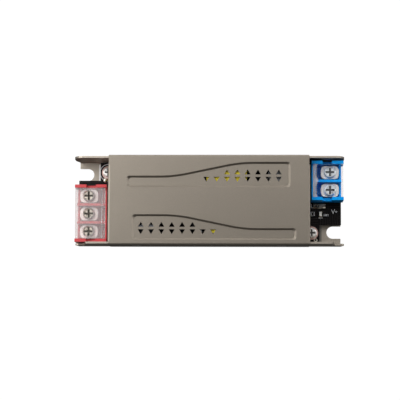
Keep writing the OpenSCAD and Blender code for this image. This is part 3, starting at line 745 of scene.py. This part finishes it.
@dataclass(frozen=True)
class EnamelledWire(Look):
    """Copper wire under varnish, with fine turns where the winding is one solid."""

    turn_depth: float
    colour: Colour = tone("b5652f")
    turn: float = 0.5

    def shader(self, bench: Bench) -> Signal:
        """Build the wire."""
        turns = bench.bands("Z", self.turn, wobble=0.4)
        stain = bench.noise(1.8)
        return bench.shader(
            Base_Color=bench.shade(stain, self.colour, low=0.7, high=1.15),
            Metallic=0.85,
            Roughness=0.24 + stain * 0.16,
            Coat_Weight=0.6,
            Normal=bench.bump(turns * self.turn_depth + stain * 0.2, depth=0.05, strength=0.35),
        )


@dataclass(frozen=True)
class WrapTape(Look):
    """Yellow polyester tape in overlapping wraps."""

    colour: Colour = tone("ffe838")
    wrap: float = 8.8

    def shader(self, bench: Bench) -> Signal:
        """Build the tape."""
        edge = bench.bands("Y", self.wrap, wobble=0.5, profile="SAW")
        crease = bench.noise(2.6, detail=4.0, stretch=(1.0, 0.35, 1.0))
        return bench.shader(
            Base_Color=bench.shade(edge * 0.4 + crease * 0.6, self.colour, low=0.82, high=1.0),
            Roughness=0.25 + crease * 0.2,
            Normal=bench.bump(edge * 0.5 + crease * 0.5, depth=0.12, strength=0.6),
        )


@dataclass(frozen=True)
class CanSleeve(Look):
    """Shrink sleeve of a capacitor can, with a pale stripe, and the bare crimped lid."""

    lid_axis: Axis
    stripe_axis: Axis
    lid_from: float
    lid_side: float
    stripe_at: float
    stripe_half: float
    sleeve: Colour = tone("101114")
    stripe: Colour = tone("8d9197")
    lid: Colour = tone("8e9092")

    def shader(self, bench: Bench) -> Signal:
        """Build the sleeve and lid."""
        reach = bench.along(self.lid_axis) * self.lid_side
        lid = reach.above(self.lid_from, soft=0.15)
        away = abs(bench.along(self.stripe_axis) - self.stripe_at)
        stripe = (1 - away.above(self.stripe_half, soft=0.15)) * (1 - lid)
        skin = bench.noise(0.8)
        sleeve = bench.shade(skin * 0.5, self.sleeve, low=1.0, high=1.5)
        return bench.shader(
            Base_Color=bench.mix(lid, bench.mix(stripe, sleeve, self.stripe), self.lid),
            Metallic=lid,
            Roughness=0.3 + skin * 0.15,
            Normal=bench.bump(skin, depth=0.02, strength=0.5),
        )


@dataclass(frozen=True)
class BoardInk(Look):
    """White board print, slightly worn."""

    colour: Colour = tone("ffffff")

    def shader(self, bench: Bench) -> Signal:
        """Build the ink."""
        worn = bench.noise(0.35, detail=4.0).above(0.38, soft=0.3)
        colour = bench.shade(worn, self.colour, low=0.8, high=1.0)
        return bench.shader(Base_Color=colour, Roughness=0.55 + worn * 0.1)


@dataclass(frozen=True)
class LampBody(Look):
    """White indicator lamp with a warm lens."""

    colour: Colour = tone("ffffff")
    lens: Colour = tone("f6efce")
    lens_y: float = -6.0
    lens_half: float = 0.5

    def shader(self, bench: Bench) -> Signal:
        """Build the lamp."""
        lens = 1 - abs(bench.along(Axis.WIDTH) - self.lens_y).above(self.lens_half, soft=0.3)
        grain = bench.noise(0.4)
        colour = bench.mix(lens * 0.4 + grain * 0.1, self.colour, self.lens)
        return bench.shader(Base_Color=colour, Roughness=0.2 + grain * 0.15)


INPUT_SCREWS = axes_of("input_screw_1", "input_screw_2", "input_screw_3")
OUTPUT_SCREWS = axes_of("output_screw_1", "output_screw_2")


class Finish(Enum):
    """The finishes of the part, each named for its slot in the record."""

    painted_sheet = PaintedSheet()
    # A lighter copy of the cover's paint: painted light on the base's floor and walls.
    base_sheet_painted_light = PaintedSheet(tone("aca397"))
    plated_steel = PlatedMetal(tone("d6d2cc"), roughness=0.3)
    clamp_steel = PlatedMetal(tone("fdfaf6"), roughness=0.55)
    input_screw_steel = ScrewPlating(
        INPUT_SCREWS,
        tone("cfc7bb"),
        head_top=14.9,
        roughness=0.3,
        recess_r=2.5,
        washer_from=2.3,
        washer=tone("8f877e"),
        recess=tone("3a3631"),
        # This wide range paints highlights and dark reflections on the heads, besides stains.
        stain_and_glint_shades=(0.3, 1.6),
    )
    output_screw_steel = ScrewPlating(
        OUTPUT_SCREWS,
        tone("eef4f8"),
        head_top=14.9,
        roughness=0.34,
        recess_r=2.5,
        recess=tone("4a4d50"),
        stain_and_glint_shades=(0.7, 1.1),
    )
    board_screw_steel = ScrewPlating(
        corner_axes("board_screws", radius=3.5),
        tone("f2efea"),
        head_top=8.0,
        roughness=0.4,
        recess_r=2.1,
        washer_from=2.85,
    )
    tinned_brass = PlatedMetal(tone("cfc8ba"), roughness=0.36)
    board_black = SolderMask()
    film_white = FilmSheet()
    red_moulding = Moulding(tone("c0363b"))
    blue_moulding = Moulding(tone("0098ea"), gloss=0.12)
    # The tints are darker than the plastic's own: painted shade for the flaps' missing shadows.
    input_clear = ClearMoulding(INPUT_SCREWS, (0.7, 0.63, 0.62), window_r=2.6, haze=0.12)
    output_clear = ClearMoulding(OUTPUT_SCREWS, (0.86, 0.83, 0.82), window_r=7.7, haze=0.26)
    ferrite = Speckled(tone("34343a"), roughness=0.55, grain=0.4, depth=0.05)
    black_moulding = Moulding(tone("1d1d20"), roughness=0.45)
    copper_wire = EnamelledWire(turn_depth=1.0)
    coil_wire = EnamelledWire(turn_depth=0.0)
    yellow_tape = WrapTape()
    can_sleeve = CanSleeve(
        Axis.HEIGHT, Axis.LENGTH, lid_from=18.55, lid_side=1.0, stripe_at=0.0, stripe_half=0.6
    )
    bulk_sleeve = CanSleeve(
        Axis.LENGTH, Axis.WIDTH, lid_from=51.7, lid_side=-1.0, stripe_at=-13.6, stripe_half=0.7
    )
    ring_green = Speckled(tone("3f5b45"), roughness=0.5, grain=0.3, depth=0.04)
    ring_yellow = Speckled(tone("c9b23c"), roughness=0.5, grain=0.3, depth=0.04)
    film_capacitor_box = Moulding(tone("d9b93a"), roughness=0.4)
    blue_coating = Speckled(tone("2b5f9e"), roughness=0.35, grain=0.6, depth=0.05)
    green_coating = Speckled(tone("35563a"), roughness=0.4, grain=0.6, depth=0.05)
    fuse_body = Speckled(tone("cbbfa4"), roughness=0.4, grain=0.5, depth=0.03)
    bare_aluminium = PlatedMetal(tone("c3c6c9"), roughness=0.42, marks=0.7)
    led_white = LampBody()
    chip_ceramic = Speckled(tone("9a9087"), roughness=0.4, grain=0.3, depth=0.02)
    board_ink = BoardInk()

    def made(self) -> bpy.types.Material:
        """Give the finish's material, built on first use."""
        name = f"finish_{self.name}"
        if name not in bpy.data.materials:
            bench = Bench(name)
            bench.end("ShaderNodeOutputMaterial", self.value.shader(bench))
        return bpy.data.materials[name]


def dress(finish: Finish, *nodes: str) -> None:
    """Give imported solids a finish.

    Args:
        finish: the finish.
        nodes: the solids' names.
    """
    for name in nodes:
        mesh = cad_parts[name].data
        mesh.materials.clear()
        mesh.materials.append(finish.made())
        LOG.info("%s: %s", name, finish.name)


def add_piece(name: str, mesh: bpy.types.Mesh, finish: Finish) -> bpy.types.Object:
    """Put a finished mesh in the scene, riding on the case.

    Args:
        name: the piece's name.
        mesh: its mesh, in place.
        finish: its finish.

    Returns:
        The piece.
    """
    piece = add_object(name, mesh)
    if not mesh.materials:
        mesh.materials.append(finish.made())
    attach(piece, BODY)
    LOG.info("%s: %d faces", name, len(mesh.polygons))
    return piece


def to_mesh(name: str, work: bmesh.types.BMesh, smooth: bool = False) -> bpy.types.Mesh:
    """Close a bmesh into a mesh with its faces pointing outwards.

    Args:
        name: the mesh's name.
        work: the bmesh, which is freed.
        smooth: True for smooth shading.

    Returns:
        The mesh.
    """
    bmesh.ops.recalc_face_normals(work, faces=work.faces)
    mesh = bpy.data.meshes.new(name)
    work.to_mesh(mesh)
    work.free()
    if smooth:
        mesh.polygons.foreach_set("use_smooth", [True] * len(mesh.polygons))
    return mesh


def add_skin(work: bmesh.types.BMesh, loops: list[list[bmesh.types.BMVert]], ends: bool = True) -> None:
    """Join loops of points, each to the next, with four-sided faces.

    Args:
        work: the bmesh.
        loops: the loops, with equal numbers of points.
        ends: True for a face across the first and the last loop.
    """
    if ends:
        work.faces.new(loops[0][::-1])
        work.faces.new(loops[-1])
    for a, b in zip(loops, loops[1:]):
        for i, corner in enumerate(a):
            j = (i + 1) % len(a)
            work.faces.new((corner, a[j], b[j], b[i]))


def add_prism(work: bmesh.types.BMesh, outline: Sequence[Point], low: float, high: float) -> None:
    """Add an upright prism to a bmesh.

    Args:
        work: the bmesh.
        outline: its outline in millimetres.
        low: its lower height.
        high: its upper height.
    """
    add_skin(work, [[work.verts.new((x * MM, y * MM, z * MM)) for x, y in outline] for z in (low, high)])


def stroke_outline(start: Point, end: Point, width: float) -> list[Point]:
    """Outline of a straight stroke with square ends.

    Args:
        start: one end in millimetres.
        end: the other end.
        width: the stroke's width.

    Returns:
        Four corners.
    """
    way = (Vector(end) - Vector(start)).normalized() * width / 2
    side = Vector((-way.y, way.x))
    a, b = Vector(start) - way, Vector(end) + way
    return [tuple(a - side), tuple(b - side), tuple(b + side), tuple(a + side)]


def cross_outline(arm: float, width: float) -> list[Point]:
    """Outline of an even cross, with points along its sides.

    Args:
        arm: the length of an arm from the middle.
        width: the width of an arm.

    Returns:
        The points, anticlockwise.
    """
    half = width / 2
    mid = (arm + half) / 2
    corner = [(arm, -half), (arm, 0.0), (arm, half), (mid, half), (half, half), (half, mid)]
    turns = [(1, 0), (0, 1), (-1, 0), (0, -1)]
    return [(x * c - y * s, x * s + y * c) for c, s in turns for x, y in corner]


@dataclass
class Case:
    """Folded base, cover and the screws that hold it."""

    base: str = "base_channel"
    cover: str = "top_cover"
    screws: str = "cover_screws"
    shank_r: float = 1.4
    screw_l: float = 2.1
    recess_arm: float = 0.62
    recess_width: float = 0.3
    recess_taper: float = 0.6
    recess_depth: float = 0.9

    def dress(self) -> None:
        """Paint the sheets and plate the screws."""
        dress(Finish.base_sheet_painted_light, self.base)
        dress(Finish.painted_sheet, self.cover)
        dress(Finish.plated_steel, self.screws)

    def add_screws(self) -> None:
        """Put countersunk screws with a cross recess in place of the plain ones."""
        low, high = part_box(self.screws)
        middle = (low + high) / 2
        radius = (high.z - low.z) / 2
        work = bmesh.new()
        for x in (low.x + radius, high.x - radius):
            for y, turn in ((low.y, -90.0), (high.y, 90.0)):
                inwards = Matrix.Rotation(math.radians(turn), 4, "X")
                self._add_screw(work, Matrix.Translation((x, y, middle.z)) @ inwards, radius)
        mesh = to_mesh("cover_screws_cut", work)
        piece = add_piece("cover_screws_cut", mesh, Finish.plated_steel)
        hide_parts(self.screws)

    def _add_screw(self, work: bmesh.types.BMesh, place: Matrix, radius: float) -> None:
        """Add one screw, from the floor of its recess round the head to the end of its shank.

        Args:
            work: the bmesh.
            place: where the head's face lies, with the screw along +Z.
            radius: the head's radius.
        """
        cross = cross_outline(self.recess_arm * radius, self.recess_width * radius)
        angles = [math.atan2(y, x) for x, y in cross]
        circle = [(math.cos(a), math.sin(a)) for a in angles]
        shank, cone = self.shank_r * MM, radius - self.shank_r * MM
        levels = (
            (cross, self.recess_taper, self.recess_depth * MM),
            (cross, 1.0, 0.0),
            (circle, radius, 0.0),
            (circle, shank, cone),
            (circle, shank, self.screw_l * MM),
        )
        add_skin(work, [
            [work.verts.new(place @ Vector((x * share, y * share, depth))) for x, y in form]
            for form, share, depth in levels
        ])


@dataclass
class Board:
    """Circuit board with its print, pads and small parts."""

    top: float = field(default_factory=lambda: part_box("circuit_board")[1].z / MM)
    ink: float = 0.03
    line: float = 0.23
    ring_at: Point = (-54.5, 16.25)
    ring_r: float = 4.55
    via_at: Point = (56.6, -20.0)
    via_r: float = 0.75
    via_w: float = 0.5
    via_h: float = 0.05
    pad_half: float = 0.45
    pad_over: float = 0.15
    pad_h: float = 0.06
    blob_at: Point = (-56.1, 12.25)
    blob_size: Place = (1.15, 1.5, 0.75)

    def dress(self) -> None:
        """Finish the board, the film and what is screwed or soldered on."""
        dress(Finish.board_black, "circuit_board")
        dress(Finish.film_white, "insulating_film")
        dress(Finish.plated_steel, "board_standoffs")
        dress(Finish.board_screw_steel, "board_screws")
        dress(Finish.led_white, "indicator_led")
        dress(Finish.chip_ceramic, "surface_parts")

    def strokes(self) -> list[tuple[Point, Point]]:
        """Printed strokes: brackets round the small parts, and the mark at the positive pole.

        Returns:
            Start and end of each stroke in millimetres.
        """
        made: list[tuple[Point, Point]] = []
        for x0, x1, y0, y1 in ((54.4, 57.6, -2.75, -0.65), (58.7, 61.7, -2.75, -0.65)):
            made += [((x0, y0), (x0, y1)), ((x1, y0), (x1, y1)), ((x0, y0), (x1, y0))]
        made += [((58.3, -8.1), (60.3, -8.1))]
        for x in (54.3, 55.9):
            made += [((x, -7.0), (x, -4.9))]
        for x in (61.2, 61.9, 62.6, 63.3):
            made += [((x, -6.2), (x, -7.1))]
        made += [((54.3, -7.0), (54.9, -7.0)), ((54.3, -4.9), (54.9, -4.9))]
        made += [((65.2, -3.6), (66.0, -5.8)), ((66.0, -5.8), (66.8, -3.6))]
        made += [((67.2, -4.8), (68.2, -4.8)), ((67.7, -4.3), (67.7, -5.3))]
        return made

    def add_print(self) -> None:
        """Add the white print."""
        work = bmesh.new()
        for start, end in self.strokes():
            add_prism(work, stroke_outline(start, end, self.line), self.top, self.top + self.ink)
        self._add_ring(work, self.ring_at, self.ring_r, self.line, self.ink)
        add_piece("board_print", to_mesh("board_print", work), Finish.board_ink)

    def _add_ring(
        self, work: bmesh.types.BMesh, centre: Point, radius: float, width: float, height: float
    ) -> None:
        """Add a flat ring standing on the board.

        Args:
            work: the bmesh.
            centre: its centre in millimetres.
            radius: its mean radius.
            width: its width.
            height: its height.
        """
        count = 48
        turns = [2 * math.pi * i / count for i in range(count)]
        middle = Vector((*centre, self.top))
        loops = []
        for side, z in ((-1, 0.0), (-1, height), (1, height), (1, 0.0)):
            r = radius + side * width / 2
            spots = [middle + Vector((r * math.cos(a), r * math.sin(a), z)) for a in turns]
            loops.append([work.verts.new(spot * MM) for spot in spots])
        add_skin(work, [*loops, loops[0]], ends=False)

    def add_solder(self) -> None:
        """Add tinned pads under the small parts, the via ring and the blob beside the input screw."""
        work = bmesh.new()
        self._add_ring(work, self.via_at, self.via_r, self.via_w, self.via_h)
        for node in ("indicator_led", "surface_parts"):
            self._add_pads(work, node)
        self._add_blob(work)
        mesh = to_mesh("board_solder", work, smooth=True)
        add_piece("board_solder", mesh, Finish.tinned_brass)

    def _add_pads(self, work: bmesh.types.BMesh, node: str) -> None:
        """Add a pad under each end of a small part.

        Args:
            work: the bmesh.
            node: the part's name.
        """
        low, high = (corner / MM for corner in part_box(node))
        inset = self.pad_half - self.pad_over
        for y in (low.y, high.y):
            outline = stroke_outline((low.x + inset, y), (high.x - inset, y), 2 * self.pad_half)
            add_prism(work, outline, self.top, self.top + self.pad_h)

    def _add_blob(self, work: bmesh.types.BMesh) -> None:
        """Add a domed blob of solder.

        Args:
            work: the bmesh.
        """
        made = bmesh.ops.create_uvsphere(work, u_segments=24, v_segments=12, radius=1.0)
        place = Matrix.Translation(Vector((*self.blob_at, self.top)) * MM)
        size = Matrix.Diagonal((*Vector(self.blob_size) * MM, 1.0))
        bmesh.ops.transform(work, matrix=place @ size, verts=made["verts"])


@dataclass
class TerminalBlock:
    """Screw terminal block under a clear hinged flap."""

    end: str
    poles: int
    finish: Finish
    flap: Finish
    screws: Finish

    def dress(self) -> None:
        """Finish the block, flap, lugs, clamps and screws."""
        dress(self.finish, f"{self.end}_block")
        dress(self.flap, f"{self.end}_flap")
        dress(Finish.tinned_brass, f"{self.end}_lugs")
        for k in range(1, self.poles + 1):
            dress(self.screws, f"{self.end}_screw_{k}")
            dress(Finish.clamp_steel, f"{self.end}_clamp_{k}")
        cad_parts[f"{self.end}_flap"].visible_shadow = False


@dataclass
class PowerParts:
    """What stands on the board inside the case."""

    nodes: dict[Finish, tuple[str, ...]] = field(default_factory=lambda: {
        Finish.ferrite: ("transformer_core",),
        Finish.copper_wire: ("transformer_winding",),
        Finish.yellow_tape: ("transformer_tape",),
        Finish.bulk_sleeve: ("bulk_capacitor",),
        Finish.can_sleeve: ("output_capacitors",),
        Finish.ring_green: ("choke_core",),
        Finish.ring_yellow: ("inductor_core",),
        Finish.film_capacitor_box: ("filter_capacitor",),
        Finish.blue_coating: ("safety_capacitor", "varistor"),
        Finish.green_coating: ("thermistor",),
        Finish.fuse_body: ("fuse",),
        Finish.bare_aluminium: ("primary_heatsink", "secondary_heatsink"),
        Finish.black_moulding: (
            "transformer_bobbin",
            "bridge_rectifier",
            "switching_transistor",
            "output_rectifier",
            "control_chip",
            "optocoupler",
        ),
    })

    def dress(self) -> None:
        """Finish each part."""
        for finish, names in self.nodes.items():
            dress(finish, *names)


@dataclass
class RingCoils:
    """Ring core with wire wound round it in one or two stretches, each with two leads into the board."""

    core: str
    winding: str
    middles: tuple[float, ...]
    sweep: float
    turns: int
    lead_spread: float
    ring_w: float = 3.0
    wire_r: float = 0.43
    lead_r: float = 0.38
    layer: float = 0.5

    @staticmethod
    def tree() -> Loom:
        """Build the tree of one stretch: a wire wound round the ring's section, and two leads.

        Returns:
            The tree, with its sizes as inputs.
        """
        steps_per_turn = 24
        wire_sides, lead_sides = 8, 12
        squareness = 0.4
        loom = Loom("ring_coil")
        turns = loom.value("Turns")
        middle, sweep = loom.value("Middle"), loom.value("Sweep")
        ring_r, centre_z = loom.value("Ring Radius"), loom.value("Centre Height")
        half_w, half_h = loom.value("Half Width"), loom.value("Half Height")
        wire_r = loom.value("Wire Radius")
        share = loom.node("GeometryNodeSplineParameter")
        phase = share * turns * (2 * math.pi)
        angle = middle + sweep * (share - 0.5)
        radius = ring_r + half_w * phase.cosine().squared_off(squareness)
        height = centre_z + half_h * phase.sine().squared_off(squareness)
        spot = loom.place(radius * angle.cosine(), radius * angle.sine(), height)
        line = loom.node("GeometryNodeCurvePrimitiveLine")
        steps = {"Curve": line, "Count": turns * steps_per_turn + 1}
        path = loom.node("GeometryNodeResampleCurve", steps)
        wound = loom.node("GeometryNodeSetPosition", {"Geometry": path, "Position": spot})
        section = {"Resolution": wire_sides, "Radius": wire_r}
        profile = loom.node("GeometryNodeCurvePrimitiveCircle", section)
        tube = {"Curve": wound, "Profile Curve": profile, "Fill Caps": True}
        wire = loom.node("GeometryNodeCurveToMesh", tube)
        spread, lead_r = loom.value("Lead Spread"), loom.value("Lead Radius")
        lead_l, lead_z = loom.value("Lead Length"), loom.value("Lead Height")
        side = loom.node("GeometryNodeInputIndex") * 2 - 1
        angle = middle + spread * side
        points = loom.node("GeometryNodeMeshLine", {"Count": 2})
        spot = loom.place(ring_r * angle.cosine(), ring_r * angle.sine(), lead_z)
        placed = loom.node("GeometryNodeSetPosition", {"Geometry": points, "Position": spot})
        rod = {"Vertices": lead_sides, "Radius": lead_r, "Depth": lead_l}
        lead = loom.node("GeometryNodeMeshCylinder", rod)
        leads = loom.node("GeometryNodeInstanceOnPoints", {"Points": placed, "Instance": lead})
        loom.close(wire, leads)
        return loom

    def add(self, loom: Loom) -> None:
        """Wind the stretches and put them in place of the plain winding.

        Args:
            loom: the tree.
        """
        low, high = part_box(self.core)
        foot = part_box(self.winding)[0].z
        ring_r = (high.x - low.x) / 2 - self.ring_w * MM / 2
        lead_top = low.z - self.layer * MM
        sizes = {
            "Turns": float(self.turns),
            "Sweep": math.radians(self.sweep),
            "Ring Radius": ring_r,
            "Centre Height": (low.z + high.z) / 2,
            "Half Width": (self.ring_w / 2 + self.layer) * MM,
            "Half Height": (high.z - low.z) / 2 + self.layer * MM,
            "Wire Radius": self.wire_r * MM,
            "Lead Spread": math.radians(self.lead_spread),
            "Lead Radius": self.lead_r * MM,
            "Lead Length": lead_top - foot,
            "Lead Height": (lead_top + foot) / 2,
            "Material": Finish.coil_wire.made(),
        }
        work = bmesh.new()
        for middle in self.middles:
            work.from_mesh(loom.run({**sizes, "Middle": math.radians(middle)}))
        centre = (low + high) / 2
        bmesh.ops.translate(work, verts=work.verts, vec=(centre.x, centre.y, 0.0))
        mesh = to_mesh(self.winding, work, smooth=True)
        piece = add_piece(f"{self.winding}_wire", mesh, Finish.coil_wire)
        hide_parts(self.winding)


@dataclass(frozen=True)
class Softbox:
    """Rectangular soft light, with lengths in metres and 1 as the radiance of paper white."""

    name: str
    place: Place
    size: Point
    radiance: float
    aim: Place = (0.0, 0.0, 0.0)

    def add(self) -> None:
        """Add the light."""
        data = bpy.data.lights.new(self.name, "AREA")
        data.shape = "RECTANGLE"
        data.size, data.size_y = self.size
        data.energy = self.radiance * math.pi * self.size[0] * self.size[1]
        light = add_object(self.name, data)
        light.location = self.place
        light.rotation_euler = (Vector(self.place) - Vector(self.aim)).to_track_quat("Z", "Y").to_euler()


SOFTBOXES = (
    Softbox("softbox_key", (-0.26, 0.12, 0.3), (0.28, 0.3), 3.7, aim=(-0.26, 0.12, 0.0)),
    Softbox("softbox_right", (0.5, 0.2, 0.9), (0.5, 0.5), 1.6),
    Softbox("softbox_far", (0.06, 0.17, 0.3), (0.3, 0.2), 1.3, aim=(0.06, 0.17, 0.0)),
    Softbox("softbox_back", (0.0, 0.8, 0.8), (0.8, 0.5), 1.9),
    Softbox("strip_back", (0.0, 1.1, 0.32), (1.8, 0.4), 2.2),
    Softbox("strip_left", (-1.0, 0.1, 0.25), (0.8, 0.4), 1.2),
    Softbox("softbox_left", (-0.8, 0.1, 0.6), (0.6, 0.6), 2.8),
    Softbox("strip_right", (1.0, 0.1, 0.25), (0.8, 0.4), 3.0),
)


@dataclass
class Studio:
    """White floor, soft light from the upper left and the camera almost straight above."""

    eye: Place = (25.9, -92.9, 900.0)
    aim: Place = (-4.2, -4.9, 0.0)
    roll: float = 0.0041
    lens: float = 151.05
    shift: Point = (-0.0053, 0.0323)
    sensor: float = 36.0
    floor_half: float = 3.0
    floor_gap: float = 0.05
    sky: tuple[Point, ...] = ((0.0, 0.06), (0.14, 0.06), (0.24, 0.32), (0.42, 0.32), (0.5, 0.06), (1.0, 0.08))

    def add_camera(self) -> None:
        """Add the camera, with the back of the case up in the picture."""
        data = bpy.data.cameras.new("camera")
        data.lens = self.lens
        data.sensor_width = self.sensor
        data.shift_x, data.shift_y = self.shift
        data.clip_start = 0.01
        data.clip_end = 20.0
        camera = add_object("camera", data)
        back = (Vector(self.eye) - Vector(self.aim)).normalized()
        right = Vector((-math.sin(self.roll), math.cos(self.roll), 0.0)).cross(back).normalized()
        up = back.cross(right)
        turn = Matrix((right, up, back)).transposed().to_4x4()
        camera.matrix_world = Matrix.Translation(Vector(self.eye) * MM) @ turn
        bpy.context.scene.camera = camera

    def add_floor(self) -> None:
        """Add the white floor, which shows to the camera only."""
        work = bmesh.new()
        bmesh.ops.create_grid(work, x_segments=1, y_segments=1, size=self.floor_half)
        bmesh.ops.translate(work, verts=work.verts, vec=(0.0, 0.0, -self.floor_gap * MM))
        mesh = bpy.data.meshes.new("floor")
        work.to_mesh(mesh)
        work.free()
        floor = add_object("floor", mesh)
        bench = Bench("floor_white")
        white = {"Emission_Color": (1.0, 1.0, 1.0), "Emission_Strength": 1.0}
        paper = bench.shader(Base_Color=(0.02, 0.02, 0.02), Roughness=0.9, **white)
        bench.end("ShaderNodeOutputMaterial", paper)
        mesh.materials.append(bench.material)
        floor.visible_diffuse = False
        floor.visible_glossy = False

    def add_sky(self) -> None:
        """Add dim light from all round, brighter from the far floor, with white behind the part."""
        world = bpy.data.worlds.new("studio")
        bpy.context.scene.world = world
        world.use_nodes = True
        graph = Graph(world.node_tree)
        way = graph.node("ShaderNodeTexCoord", output="Generated")
        rise = graph.node("ShaderNodeSeparateXYZ", {0: way}, "Z")
        level = graph.node("ShaderNodeMapRange", {"Value": rise, "From Min": -1.0, "From Max": 1.0})
        glow = graph.node("ShaderNodeValToRGB", {0: level})
        stops = glow.socket.node.color_ramp.elements
        for place, _ in self.sky[1:-1]:
            stops.new(place)
        for stop, (_, share) in zip(stops, self.sky):
            stop.color = (share, share, share, 1.0)
        seen = graph.node("ShaderNodeLightPath", output="Is Camera Ray")
        light = graph.node("ShaderNodeMix", {0: seen, 2: glow, 3: 1.0}, data_type="FLOAT")
        graph.end("ShaderNodeOutputWorld", graph.node("ShaderNodeBackground", {"Strength": light}))

    def set_up(self) -> None:
        """Build the whole studio."""
        self.add_camera()
        self.add_floor()
        for softbox in SOFTBOXES:
            softbox.add()
        self.add_sky()
        bpy.context.scene.view_settings.view_transform = "Standard"


def main() -> None:
    """Build the part's looks in order."""
    logging.basicConfig(level=logging.INFO, format="%(name)s %(message)s")
    Studio().set_up()
    case = Case()
    board = Board()
    blocks: Iterable[TerminalBlock] = (
        TerminalBlock("input", 3, Finish.red_moulding, Finish.input_clear, Finish.input_screw_steel),
        TerminalBlock("output", 2, Finish.blue_moulding, Finish.output_clear, Finish.output_screw_steel),
    )
    for part in (case, board, *blocks, PowerParts()):
        part.dress()
    case.add_screws()
    board.add_print()
    board.add_solder()
    loom = RingCoils.tree()
    RingCoils(
        "choke_core", "choke_windings", middles=(90.0, 270.0), sweep=132.0, turns=9, lead_spread=30.0
    ).add(loom)
    RingCoils(
        "inductor_core", "inductor_winding", middles=(180.0,), sweep=312.0, turns=18, lead_spread=90.0
    ).add(loom)


if __name__ == "__main__":
    main()
